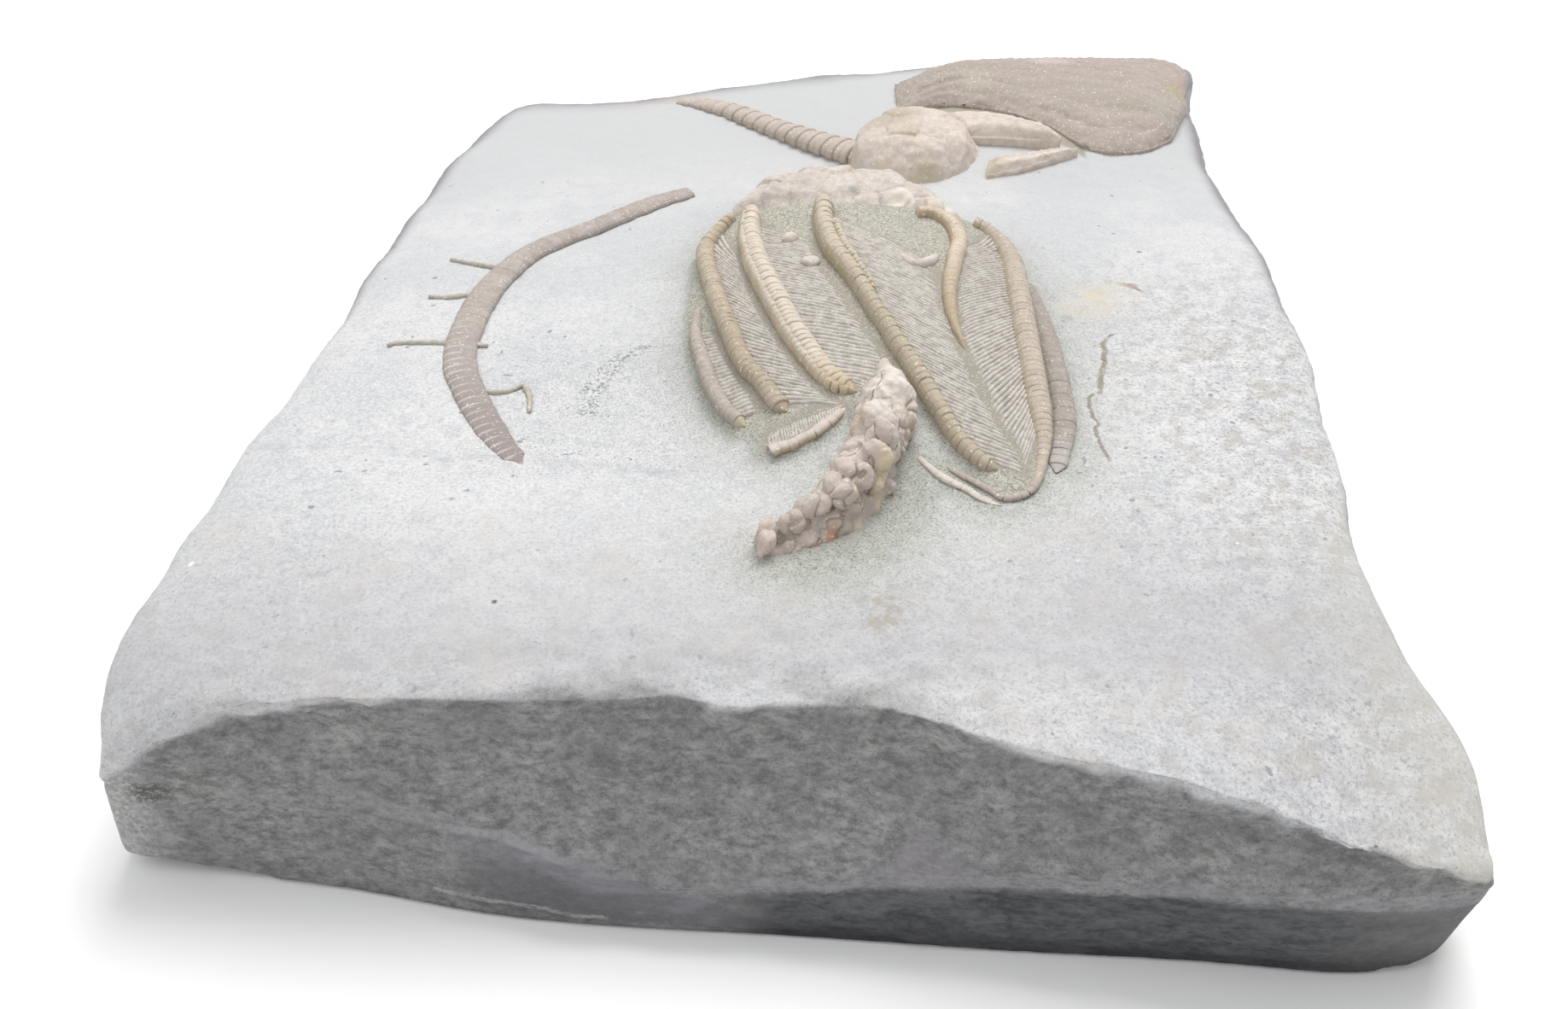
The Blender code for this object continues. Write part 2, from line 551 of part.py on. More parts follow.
def side_wall(u, v, ring):
    """Point of a side or back wall on a ring, before the front corners draw it."""
    x, y, z = cap_point(u, v)
    out = ring["side_out"] + SIDE_CHIPS * math.sin(0.31 * x + 0.29 * y + 9.0 * ring["side_height"])
    reach = math.hypot(x / 50.0, y / 66.0)
    return (x + out * x / 50.0 / reach, y + out * y / 66.0 / reach, z * ring["side_height"])


def wall_point(u, v, ring):
    """Point of the wall below the rim point at u, v."""
    if v == 0.0:
        return front_wall(u, ring)
    point = side_wall(u, v, ring)
    if v == 1.0:
        return point
    corner = cap_point(u, 0.0)
    rim = cap_point(u, v)
    draw = 1.0 - smooth(math.hypot(rim[0] - corner[0], rim[1] - corner[1]), 0.0, CORNER_REACH)
    at_corner = front_wall(u, ring)
    undrawn = side_wall(u, 0.0, ring)
    return tuple(a + (b - c) * draw for a, b, c in zip(point, at_corner, undrawn))


def slab():
    """The block of rock: a cap with the relief of the bedding face, broken walls and a flat base."""
    shape = bmesh.new()
    bmesh.ops.create_grid(shape, x_segments=CAP_COLUMNS, y_segments=CAP_ROWS, size=0.5)
    u_of, v_of = (shape.verts.layers.float.new(name) for name in ("u", "v"))
    for point in shape.verts:
        u = float(np.interp(point.co.x + 0.5, SHARES, COLUMN_PLACES))
        v = float(np.interp(point.co.y + 0.5, SHARES, ROW_PLACES))
        point[u_of], point[v_of] = u, v
        point.co = cap_point(u, v)
    edge = [item for item in shape.edges if item.is_boundary]
    for ring in WALL_RINGS:
        made = bmesh.ops.extrude_edge_only(shape, edges=edge)["geom"]
        edge = [item for item in made if isinstance(item, bmesh.types.BMEdge) and item.is_boundary]
        for item in made:
            if isinstance(item, bmesh.types.BMVert):
                item.co = wall_point(item[u_of], item[v_of], ring)
    bmesh.ops.edgeloop_fill(shape, edges=edge)
    return shape


def fuse(body, additions):
    """Joins the additions to the body as one solid."""
    for extra in additions:
        union = body.modifiers.new("union", "BOOLEAN")
        union.operation = "UNION"
        union.solver = "EXACT"
        union.object = extra
    joined = bpy.data.meshes.new_from_object(body.evaluated_get(bpy.context.evaluated_depsgraph_get()))
    body.modifiers.clear()
    body.data = joined
    for extra in additions:
        bpy.data.objects.remove(extra)


def main():
    for old in list(bpy.data.objects):
        bpy.data.objects.remove(old)
    plate = bpy.data.collections.new("crinoid_fossil_plate")
    bpy.context.scene.collection.children.link(plate)

    block = slab()
    facets = BVHTree.FromBMesh(block)

    def rock(x, y):
        return facets.ray_cast((x, y, 100.0), (0.0, 0.0, -1.0))[0].z

    finish("matrix_slab", block, ROCK, plate)
    for name, shape in ARMS.items():
        finish(name, arm(rock, shape), CREAM, plate)
    finish("main_cup", between(rock, CUP_NEAR, CUP_FAR, CUP, cup_height), ROSE, plate)
    finish("anal_tube", tube(rock, ANAL_TUBE, TUBE_PROFILE, knobbly), ROSE, plate)
    for name, numbers in CHIPS.items():
        finish(name, chip(rock, *numbers), ROSE, plate)
    for name, shape in STEMS.items():
        finish(name, tube(rock, shape, ARM_PROFILE, beads(shape)), MAUVE, plate)
    shoots = []
    for index, route in enumerate(CIRRI, start=1):
        shoot = tube(rock, {**CIRRUS, "route": route}, CIRRUS_PROFILE, plain)
        shoots.append(finish(f"cirrus_{index}", shoot, MAUVE, plate))
    fuse(bpy.data.objects["loose_stem"], shoots)
    finish("second_cup", second_cup(rock), BUFF, plate)
    for name, shape in BUNDLES.items():
        finish(name, between(rock, shape["near"], shape["far"], shape, bundle_height(shape)), MAUVE, plate)


main()
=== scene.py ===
import math
import random

import bpy
import numpy as np
from mathutils import Matrix, Vector, noise
from mathutils.bvhtree import BVHTree
from mathutils.kdtree import KDTree


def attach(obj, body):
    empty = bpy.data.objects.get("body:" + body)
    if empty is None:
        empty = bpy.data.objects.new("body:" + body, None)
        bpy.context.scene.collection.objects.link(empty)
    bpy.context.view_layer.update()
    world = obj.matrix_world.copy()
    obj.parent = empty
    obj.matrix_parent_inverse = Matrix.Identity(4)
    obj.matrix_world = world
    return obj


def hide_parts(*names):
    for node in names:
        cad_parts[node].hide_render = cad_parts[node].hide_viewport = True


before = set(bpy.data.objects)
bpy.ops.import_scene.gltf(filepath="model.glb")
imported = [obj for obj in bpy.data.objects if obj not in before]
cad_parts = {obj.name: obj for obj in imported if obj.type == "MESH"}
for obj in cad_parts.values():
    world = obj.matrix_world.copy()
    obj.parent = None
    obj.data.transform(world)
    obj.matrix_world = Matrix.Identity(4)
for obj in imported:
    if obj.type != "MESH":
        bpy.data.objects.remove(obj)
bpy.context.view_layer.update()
random.seed(7)

mm = 0.001
plateMiddle = Vector((0.33, 3.56, 0))  # every place below is in mm, and this one is the middle of the block


def toFrame(place):
    return (Vector(place) - plateMiddle) * mm


def toPlate(place):
    return Vector(place) / mm + plateMiddle


def ease(values, start, end):  # a soft step from 0 at start to 1 at end, for a number or an array
    t = np.clip((values - start) / (end - start), 0, 1)
    return t * t * (3 - 2 * t)


def spread(values, share):  # the values lie evenly along the length
    return float(np.interp(share, np.linspace(0, 1, len(values)), values))


class Route:  # a smooth line over the plate, walked by share of its length
    def __init__(self, points):
        points = [Vector(point) for point in points]
        line, steps = [], 12
        for index in range(len(points) - 1):
            a, b = points[max(index - 1, 0)], points[index]
            c, d = points[index + 1], points[min(index + 2, len(points) - 1)]
            square, cube = 2 * a - 5 * b + 4 * c - d, 3 * b - a - 3 * c + d
            for step in range(steps):
                t = step / steps
                line.append(0.5 * (2 * b + (c - a) * t + square * t * t + cube * t ** 3))
        line.append(points[-1])
        self.x = np.array([point.x for point in line])
        self.y = np.array([point.y for point in line])
        self.walked = np.concatenate([[0], np.cumsum(np.hypot(np.diff(self.x), np.diff(self.y)))])
        self.length = self.walked[-1]

    def spot(self, share):
        walked = min(1, max(0, share)) * self.length
        return float(np.interp(walked, self.walked, self.x)), float(np.interp(walked, self.walked, self.y))

    def heading(self, share, reach=0.012):
        x0, y0 = self.spot(share - reach)
        x1, y1 = self.spot(share + reach)
        size = math.hypot(x1 - x0, y1 - y0)
        return (x1 - x0) / size, (y1 - y0) / size


# Objects, edit mode and modifiers

def newObject(name, data):
    piece = bpy.data.objects.new(name, data)
    bpy.context.scene.collection.objects.link(piece)
    return piece


def only(*pieces):
    bpy.ops.object.select_all(action="DESELECT")
    for piece in pieces:
        piece.select_set(True)
    bpy.context.view_layer.objects.active = pieces[0]


def edit(piece, step):  # one step in edit mode, on everything
    only(piece)
    bpy.ops.object.mode_set(mode="EDIT")
    bpy.ops.mesh.select_all(action="SELECT")
    step()
    bpy.ops.object.mode_set(mode="OBJECT")


def modify(piece, kind, **settings):
    only(piece)
    modifier = piece.modifiers.new(kind.lower(), kind)
    for setting, value in settings.items():
        setattr(modifier, setting, value)
    bpy.ops.object.modifier_apply(modifier=modifier.name)


def remesh(piece, voxel, smooth):  # an even mesh, in mm, over the piece's own form
    modify(piece, "REMESH", mode="VOXEL", voxel_size=voxel * mm)
    modify(piece, "SMOOTH", iterations=smooth)


def join(name, pieces):
    only(*pieces)
    if len(pieces) > 1:
        bpy.ops.object.join()
    pieces[0].name = name
    pieces[0].data.name = name
    return pieces[0]


def copyOfNode(node, name):
    piece = newObject(name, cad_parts[node].data.copy())
    piece.data.materials.clear()
    edit(piece, lambda: bpy.ops.mesh.remove_doubles(threshold=0.002 * mm))
    return piece


def corners(piece):  # vertex places in mm over the plate
    flat = np.empty(len(piece.data.vertices) * 3)
    piece.data.vertices.foreach_get("co", flat)
    return flat.reshape(-1, 3) / mm + np.array(plateMiddle)


def moveCorners(piece, places):
    piece.data.vertices.foreach_set("co", ((places - np.array(plateMiddle)) * mm).ravel())
    piece.data.update()


def facing(piece):
    flat = np.empty(len(piece.data.vertices) * 3)
    piece.data.vertices.foreach_get("normal", flat)
    return flat.reshape(-1, 3)


def sink(places, normals, depth=0.9):  # what faces down goes into the rock
    places[:, 2] -= depth * ease(normals[:, 2], 0.1, -0.5)


def paint(piece, **layers):  # numbers at each vertex, for the materials
    for name, values in layers.items():
        layer = piece.data.attributes.get(name) or piece.data.attributes.new(name, "FLOAT", "POINT")
        layer.data.foreach_set("value", np.asarray(values, dtype=np.float32))


def inside(places, outline):  # distance in mm into an outline, seen from above; below 0 outside it
    xs, ys = places[:, 0], places[:, 1]
    crossings, nearest = np.zeros(len(places), dtype=int), np.full(len(places), 1e9)
    for (x0, y0), (x1, y1) in zip(outline, outline[1:] + outline[:1]):
        dx, dy = x1 - x0, y1 - y0
        between = (y0 > ys) != (y1 > ys)
        if dy != 0:
            crossings += between & (xs < x0 + (ys - y0) * dx / dy)
        share = np.clip(((xs - x0) * dx + (ys - y0) * dy) / (dx ** 2 + dy ** 2), 0, 1)
        nearest = np.minimum(nearest, np.hypot(xs - x0 - share * dx, ys - y0 - share * dy))
    return np.where(crossings % 2 == 1, nearest, -nearest)


def surfaceOf(piece):
    places = [vertex.co for vertex in piece.data.vertices]
    return BVHTree.FromPolygons(places, [polygon.vertices for polygon in piece.data.polygons])


def treeOf(spots):  # finds the nearest of some spots, seen from above
    tree = KDTree(len(spots))
    for index, (x, y) in enumerate(spots):
        tree.insert((x, y, 0), index)
    tree.balance()
    return tree


def nearness(spots, places):  # distance in mm from each place to the nearest spot, seen from above
    tree = treeOf(spots)
    return np.array([tree.find((x, y, 0))[2] for x, y, z in places])


def roughness(places, size, detail, seed=0):  # fractal noise, about -1 to 1, with lumps of this size in mm
    scale, shift = np.array(size), Vector((seed, 0, 0))
    return np.array([noise.fractal(Vector(place / scale) + shift, 0.9, 2.1, detail) for place in places])


# Materials: sockets that can be added and multiplied

def tint(colour, gain=0.92):  # a display colour as a base colour
    return [gain * ((value / 255 + 0.055) / 1.055) ** 2.4 for value in colour]


class Wire:
    def __init__(self, finish, socket):
        self.finish, self.socket = finish, socket

    def maths(self, operation, *values):
        return self.finish.add("Math", {"operation": operation}, dict(enumerate(values)))

    def __add__(self, other):
        return self.maths("ADD", self, other)

    def __radd__(self, other):
        return self.maths("ADD", other, self)

    def __sub__(self, other):
        return self.maths("SUBTRACT", self, other)

    def __rsub__(self, other):
        return self.maths("SUBTRACT", other, self)

    def __mul__(self, other):
        return self.maths("MULTIPLY", self, other)

    def __truediv__(self, other):
        return self.maths("DIVIDE", self, other)

    def __pow__(self, other):
        return self.maths("POWER", self, other)

    def band(self, start, end, low=0, high=1):  # a soft step from low at start to high at end
        settings = {"interpolation_type": "SMOOTHSTEP"}
        return self.finish.add("MapRange", settings, {0: self, 1: start, 2: end, 3: low, 4: high})

    def near(self, line, width):  # 1 on a line and 0 beside it
        return self.maths("ABSOLUTE", self - line).band(width * 0.4, width, 1, 0)

    def follow(self, points):  # the height of a line through the points, where this is the way along it
        (x0, x1), (y0, y1) = [(min(line), max(line)) for line in zip(*points)]
        spots = sorted(((x - x0) / (x1 - x0), (y - y0) / (y1 - y0)) for x, y in points)
        found = self.finish.add("FloatCurve", {"points": spots}, {"Value": (self - x0) / (x1 - x0)})
        return found * (y1 - y0) + y0

    def stroke(self, along, line, width, fade=0.3):  # 1 on a line over the plate, between its ends
        start, end = min(line)[0], max(line)[0]
        mask = self.near(along.follow(line), width)
        return mask * along.band(start - fade, start + fade) * along.band(end + fade, end - fade)


class Finish:
    def __init__(self, name, roughness):
        self.material = bpy.data.materials.new(name)
        self.material.use_nodes = True
        self.tree = self.material.node_tree
        self.shader = self.tree.nodes["Principled BSDF"]
        self.shader.inputs["Roughness"].default_value = roughness
        self.shader.inputs["Specular IOR Level"].default_value = 0.3
        self.place = self.add("TexCoord", output="Object")

    def add(self, kind, settings=None, inputs=None, output=0):
        node = self.tree.nodes.new("ShaderNode" + kind)
        for setting, value in (settings or {}).items():
            if setting == "points":  # of a float curve
                line = node.mapping.curves[0]
                for x, y in value[1:-1]:
                    line.points.new(x, y)
                for point, (x, y) in zip(line.points, value):
                    point.location = (x, y)
                    point.handle_type = "VECTOR"
                node.mapping.update()
            else:
                setattr(node, setting, value)
        for socket, value in (inputs or {}).items():
            if isinstance(value, Wire):
                self.tree.links.new(value.socket, node.inputs[socket])
            else:
                node.inputs[socket].default_value = value
        return Wire(self, node.outputs[output])

    def painted(self, name):
        return self.add("Attribute", {"attribute_name": name}, output="Fac")

    def noise(self, scale, detail, rough, stretch=None):  # scale is the number of lumps in a mm
        place = self.place
        if stretch:
            place = self.add("Mapping", inputs={"Vector": place, "Scale": stretch})
        inputs = {"Vector": place, "Scale": scale / mm, "Detail": detail, "Roughness": rough}
        return self.add("TexNoise", inputs=inputs)

    def across(self, axis):  # the place along x, y or z, in mm over the plate
        along = self.add("SeparateXYZ", inputs={0: self.place}, output="XYZ".index(axis))
        return along / mm + plateMiddle["XYZ".index(axis)]

    def mix(self, amount, low, high):
        inputs = {0: amount}
        for socket, colour in ((6, low), (7, high)):
            inputs[socket] = colour if isinstance(colour, Wire) else (*tint(colour), 1)
        return self.add("Mix", {"data_type": "RGBA"}, inputs, output=2)

    def coats(self, colour, *layers):  # each layer is an amount and the colour that it brings
        for amount, over in layers:
            colour = self.mix(amount, colour, over)
        return colour

    def wear(self, colour, height, bump, depth, rough):  # bump depth in mm
        links, inputs = self.tree.links, self.shader.inputs
        links.new(colour.socket, inputs["Base Color"])
        links.new(rough.socket, inputs["Roughness"])
        normal = self.add("Bump", inputs={"Strength": bump, "Distance": depth * mm, "Height": height})
        links.new(normal.socket, inputs["Normal"])
        return self.material


def awayFrom(x, y, px, py):  # sockets for the distance in mm from a spot
    return ((x - px) ** 2 + (y - py) ** 2) ** 0.5


def settle(piece, node, look=None):  # every finished piece comes through here
    if look:
        piece.data.materials.clear()
        piece.data.materials.append(look)
    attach(piece, "root")
    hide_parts(node)
    print("made", piece.name, len(piece.data.polygons), "faces")


# The camera stands where the photographer's did

cameraPlace = {"at": (-1, -140, 94), "tilt": 55, "lens": 37.23, "sensor": 36}
camera = newObject("camera", bpy.data.cameras.new("camera"))
camera.location = toFrame(cameraPlace["at"])
camera.rotation_euler = (math.radians(cameraPlace["tilt"]), 0, 0)
camera.data.lens, camera.data.sensor_width = cameraPlace["lens"], cameraPlace["sensor"]
camera.data.clip_start, camera.data.clip_end = 0.005, 20
bpy.context.scene.camera = camera


# The block of rock

block = {
    "levels": 3,
    "rim": [(-51, 9.8), (-47.9, 12), (-45.2, 13.2), (-42.3, 14.2), (-38.9, 15.2), (-35.2, 16.2),
            (-27.8, 17.3), (-20, 17.7), (-14, 17.8), (-8.1, 17.8), (-6.4, 17.3), (-5.1, 17.4), (0.3, 17.7),
            (4.4, 18), (8, 18.2), (10.5, 17.8), (13.7, 16.7), (21, 16), (27.1, 15.4), (32.2, 14.4),
            (38.7, 13), (42.7, 11.4), (45.9, 10.2), (52, 7.4)],  # x, z of the upper edge of the fresh break
    "ridge": [(-52, 10.2), (-38, 11), (-32, 9.3), (-27, 7.8), (-19, 6.6), (-11, 4.9), (-4, 5.2), (2, 6.2),
              (6, 7.4), (8.5, 10.6), (10.5, 9.4), (13.2, 7.6), (20, 8.4), (28, 9.2),
              (38, 9), (52, 7.8)],  # x, z of the ledge across it
    "swell": 0.14,  # slow rise and fall of the bedding face
    "tooth": 0.09,  # its fine tooth
    "break": 0.55,  # how rough the fresh break is
    "crown": [(-10, 8.5), (-10.2, -2), (-9.8, -8), (-8.6, -14), (-7.2, -19), (-5.2, -23.2), (-3.4, -24.4),
              (-3.2, -27), (0.5, -26.4), (3, -24.6), (5.5, -22.6), (9, -19.5), (10.6, -22), (12.5, -26.6),
              (15, -30.6), (17.2, -32.6), (19.4, -31.4), (21.2, -24), (21.6, -5), (22.2, 5), (21.6, 12),
              (19.4, 15.4), (10, 14.6), (0, 15), (-6.8, 14.5)],  # the ground that the crown covers
    "crownRise": 0.5, "cupRise": 0.7,  # how far that ground stands up, and more under the cup
    "corners": [((-33.2, 54.4), 5, (-0.6, 1.7)),
                ((48.6, 66.2), 4.5, (2.2, 0.7))],  # place, reach, how far drawn out
    "baseCrease": 0.9, "rimCrease": 0.55, "rimBend": 38,  # degrees
    "cornerSpan": (38, 47), "cornerWear": 0.8,  # the near corners, in x from the middle, are worn round
    "bedRelief": 0.14, "rimRelief": 0.5, "cornerPush": 0.1, "rimShadeReach": 4.5, "haloReach": 2.4,
    "probe": 60, "usualTop": 19,  # where the rays for its height start, and what they find at the worst
}


def drawOut(places, spots):
    for (x, y), reach, move in spots:
        near = np.exp(-((places[:, 0] - x) ** 2 + (places[:, 1] - y) ** 2) / reach ** 2)
        places[:, :2] += near[:, None] * np.array(move)


def creaseRock(mesh):
    crease = mesh.attributes.new("crease_edge", "FLOAT", "EDGE")
    facesAt = {}
    for face in mesh.polygons:
        for key in face.edge_keys:
            facesAt.setdefault(key, []).append(face.normal)
    for index, edge in enumerate(mesh.edges):
        normals = facesAt.get(tuple(sorted(edge.vertices)), [])
        middle = toPlate((mesh.vertices[edge.vertices[0]].co + mesh.vertices[edge.vertices[1]].co) / 2)
        bend = normals[0].angle(normals[1]) if len(normals) == 2 else 0
        corner = ease(abs(middle.x), *block["cornerSpan"])
        if middle.z < 0.01 and bend > 0.3:
            crease.data[index].value = block["baseCrease"]
        elif middle.y < -50 and middle.z > 3 and bend > math.radians(block["rimBend"]):
            crease.data[index].value = block["rimCrease"] * (1 - corner)
        if middle.y < -40:
            crease.data[index].value *= 1 - block["cornerWear"] * corner


def makeRock():
    rock = copyOfNode("matrix_slab", "rock")
    for face in rock.data.polygons:
        face.select = face.normal.z < -0.99 and toPlate(face.center).z < 0.01
    only(rock)
    bpy.context.tool_settings.mesh_select_mode = (False, False, True)
    bpy.ops.object.mode_set(mode="EDIT")
    bpy.ops.mesh.dissolve_faces()
    bpy.ops.mesh.select_all(action="SELECT")
    bpy.ops.mesh.tris_convert_to_quads(face_threshold=math.radians(60), shape_threshold=math.radians(60))
    bpy.ops.object.mode_set(mode="OBJECT")
    bpy.context.tool_settings.mesh_select_mode = (True, False, False)
    creaseRock(rock.data)
    modify(rock, "SUBSURF", levels=block["levels"], render_levels=block["levels"])
    rock.data.attributes.remove(rock.data.attributes["crease_edge"])

    places, normals = corners(rock), facing(rock)
    drawOut(places, block["corners"])
    ridge, rimTop = [np.interp(places[:, 0], *zip(*block[line])) for line in ("ridge", "rim")]
    front = ease(-normals[:, 1], 0.05, 0.3) * ease(places[:, 1], -46, -51)
    wall = ease(np.abs(normals[:, 2]), 0.75, 0.35)
    over = 1 - ease(places[:, 2], 0.4, 0) * ease(-normals[:, 2], 0.2, 0.7)  # all but the underside
    upper = front * ease(places[:, 2] - ridge, -0.5, 1.5)
    flat = np.clip(1 - wall, 0, 1)
    crown = ease(inside(places, block["crown"]), -0.8, 0.6) * flat
    rim = ease(places[:, 1], -46, -52) * np.exp(-(rimTop - places[:, 2]) ** 2 / 2)
    nearCup = ease(places[:, 1], 8, 14.5)
    corner = ease(np.abs(places[:, 0] + 2), *block["cornerSpan"]) * ease(places[:, 1], -34, -50)

    slow = roughness(places, 14, 3)
    fine = roughness(places, 1.5, 4, 9)
    hackly = roughness(places, (3.2, 3.2, 2), 5, 3)
    beds = roughness(places, (16, 16, 0.9), 4, 5)
    push = flat * (block["swell"] * slow + block["tooth"] * fine)
    push = push + (block["crownRise"] + block["cupRise"] * nearCup) * crown
    rough = 0.45 + 0.55 * upper
    push += wall * over * (1 - block["cornerWear"] * corner) * block["break"] * rough * (hackly - 0.45)
    push += wall * over * (1 - upper) * (1 - corner) * block["bedRelief"] * (beds - 0.4)
    push += rim * block["rimRelief"] * (roughness(places, 2.6, 3, 1) - 0.5)
    push += block["cornerPush"] * corner * wall * over
    places = places + normals * (push * over)[:, None]
    places[:, 2] = np.maximum(places[:, 2], 0)
    moveCorners(rock, places)
    narrow = places * np.array((3, 1, 1))  # the painted rim shade is narrower along the sides
    edge = (wall > 0.5) & (places[:, 1] > -40) & (places[:, 2] > 10)
    # painted shade along the top's edge at the back and the sides
    brink = np.exp(-nearness(narrow[edge][:, :2], narrow) / block["rimShadeReach"]) * (places[:, 2] > 10)
    paint(rock, front=front, wall=wall, crown=crown, brink=brink)
    edit(rock, lambda: bpy.ops.mesh.normals_make_consistent(inside=False))
    rock.data.shade_smooth()
    return rock


rock = makeRock()
rockSurface = surfaceOf(rock)
print("rock", len(rock.data.polygons))


def rockTop(x, y):  # height of the bedding face in mm
    hit = rockSurface.ray_cast(toFrame((x, y, block["probe"])), Vector((0, 0, -1)))[0]
    return hit.z / mm if hit else block["usualTop"]


def calmTop(x, y):  # the same without the small bumps
    reach = 1.2
    spots = [(0, 0), (reach, 0), (-reach, 0), (0, reach), (0, -reach)]
    return sum(rockTop(x + dx, y + dy) for dx, dy in spots) / len(spots)


# Ring of a stem or an arm, modelled once: a short drum with worn rims

def makeDrum(name, sides, wear):
    bpy.ops.mesh.primitive_cylinder_add(vertices=sides, radius=1, depth=0.8)
    drum = bpy.context.object
    drum.name = name
    for edge in drum.data.edges:
        ends = [drum.data.vertices[index].co.z for index in edge.vertices]
        edge.select = abs(ends[0] - ends[1]) < 0.01
    only(drum)
    bpy.context.tool_settings.mesh_select_mode = (False, True, False)
    bpy.ops.object.mode_set(mode="EDIT")
    bpy.ops.mesh.bevel(offset=wear, segments=1)
    bpy.ops.object.mode_set(mode="OBJECT")
    for edge in drum.data.edges:  # the long edges get two more corners, so that the joints can be coloured
        ends = [drum.data.vertices[index].co.z for index in edge.vertices]
        edge.select = abs(ends[0] - ends[1]) > 0.5
    bpy.ops.object.mode_set(mode="EDIT")
    bpy.ops.mesh.subdivide(number_cuts=2)
    bpy.ops.mesh.select_all(action="SELECT")
    bpy.ops.transform.resize(value=(1, 1, 2.5))
    bpy.ops.object.mode_set(mode="OBJECT")
    bpy.context.tool_settings.mesh_select_mode = (True, False, False)
    return drum


def strew(name, base, spots):  # copies of one shape as one mesh; a spot is matrix, tone, share, taper
    shape = np.array([(*vertex.co, 1) for vertex in base.data.vertices])
    polygons = [list(polygon.vertices) for polygon in base.data.polygons]
    places, faces = [], []
    for index, (matrix, tone, share, taper) in enumerate(spots):
        tapered = shape.copy()
        tapered[:, :2] *= 1 + taper * shape[:, 2:3]
        places.append((tapered @ np.array(matrix).T)[:, :3])
        first = index * len(shape)
        faces += [[first + corner for corner in polygon] for polygon in polygons]
    mesh = bpy.data.meshes.new(name)
    mesh.from_pydata((np.vstack(places) - np.array(plateMiddle)) * mm, [], faces)
    piece = newObject(name, mesh)
    tones, shares = [np.repeat([spot[part] for spot in spots], len(shape)) for part in (1, 2)]
    across, seam = [np.tile(line, len(spots)) for line in (shape[:, 0], np.abs(shape[:, 2]))]
    paint(piece, across=across, seam=seam, tone=tones, share=shares)
    mesh.shade_smooth()
    return piece


drum, softDrum = makeDrum("drum", 16, 0.09), makeDrum("softDrum", 16, 0.03)


def ringMatrix(place, heading, sizes, turn):  # sizes: half width, height, half length
    forward = Vector(heading).normalized()
    side = forward.cross(Vector((0, 0, 1))).normalized()
    top = side.cross(forward)
    axes = Matrix((side, top, forward)).transposed().to_4x4()
    return Matrix.Translation(place) @ axes @ Matrix.Rotation(turn, 4, "Y") @ Matrix.Diagonal((*sizes, 1))


ringBase = {
    "part": (-1, 9),  # shares of the length between which the rings lie
    "shift": 0, "offset": 0, "turn": 0, "widthShare": 1, "heightShare": 1,  # of one column of several
    "blunt": 1.3, "least": 0.12,  # how the far end is rounded off
    "soft": False, "vary": 0.025, "stand": -0.1, "sway": 0.03,
    "centre": 0.25, "tall": 0.75, "long": 0.53,  # place and size of a ring, as shares of height and pitch
}


def ringSpots(line):  # rings along a route, as copies for strew
    line = {**ringBase, **line}
    route = Route(line["route"])
    count = max(3, round(route.length / line["pitch"]))
    start, end = line["part"]
    blunt = line["halfWidth"][-1] * line["blunt"]
    calm = 0.5 if line["soft"] else 1
    vary, ripple = line["vary"] * calm, line.get("ripple", 0.02 * calm)

    def half(share):  # half width in mm, with the far end rounded off
        left = min(1, max(0, (1 - share) * route.length / blunt))
        return spread(line["halfWidth"], share) * max(line["least"], math.sqrt(1 - (1 - left) ** 2))

    spots = []
    for index in range(count):
        share = min(0.999, (index + 0.5 + line["shift"]) / count)
        if not start < share < end:
            continue
        x, y = route.spot(share)
        dx, dy = route.heading(share)
        before, after = half(share - 0.5 / count), half(share + 0.5 / count)
        rounded = (before + after) / 2 / spread(line["halfWidth"], share)
        grow = 1 + (ripple if index % 2 else 0) + random.uniform(-vary, vary)
        grow *= 0.5 + 0.5 * ease(min(share - start, end - share), 0, 0.08)
        width = (before + after) / 2 * grow
        top = (spread(line["height"], share) + line["stand"]) * grow * rounded * line["heightShare"]
        x, y = x - dy * line["offset"] * width, y + dx * line["offset"] * width
        rise = calmTop(x + dx, y + dy) - calmTop(x - dx, y - dy)
        place = (x, y, calmTop(x, y) + line["centre"] * top)
        sizes = (width * line["widthShare"], line["tall"] * top, line["long"] * route.length / count)
        turn = math.radians(line["turn"]) + random.uniform(-line["sway"], line["sway"])
        matrix = ringMatrix(place, (2 * dx, 2 * dy, rise), sizes, turn)
        spots.append((matrix, random.random(), share, (after - before) / (after + before)))
    return spots


# Side branches of the arms: threads that lie side by side on the rock

def makeThreads(name, lines):  # each line is a list of x, y, z and radius in mm
    curve = bpy.data.curves.new(name, "CURVE")
    curve.dimensions = "3D"
    curve.bevel_depth = mm
    curve.bevel_resolution = 1
    curve.use_fill_caps = True
    for line in lines:
        spline = curve.splines.new("POLY")
        spline.points.add(len(line) - 1)
        for point, (x, y, z, radius) in zip(spline.points, line):
            point.co = (*toFrame((x, y, z)), 1)
            point.radius = radius
    only(newObject(name, curve))
    bpy.ops.object.convert(target="MESH")
    threads = bpy.context.object
    edit(threads, lambda: bpy.ops.mesh.remove_doubles(threshold=0.0005 * mm))
    threads.data.shade_smooth()
    return threads


branch = {"radius": 0.33, "lift": -0.06, "side": 1, "thin": 0.09, "step": 0.55, "wander": 0.1}


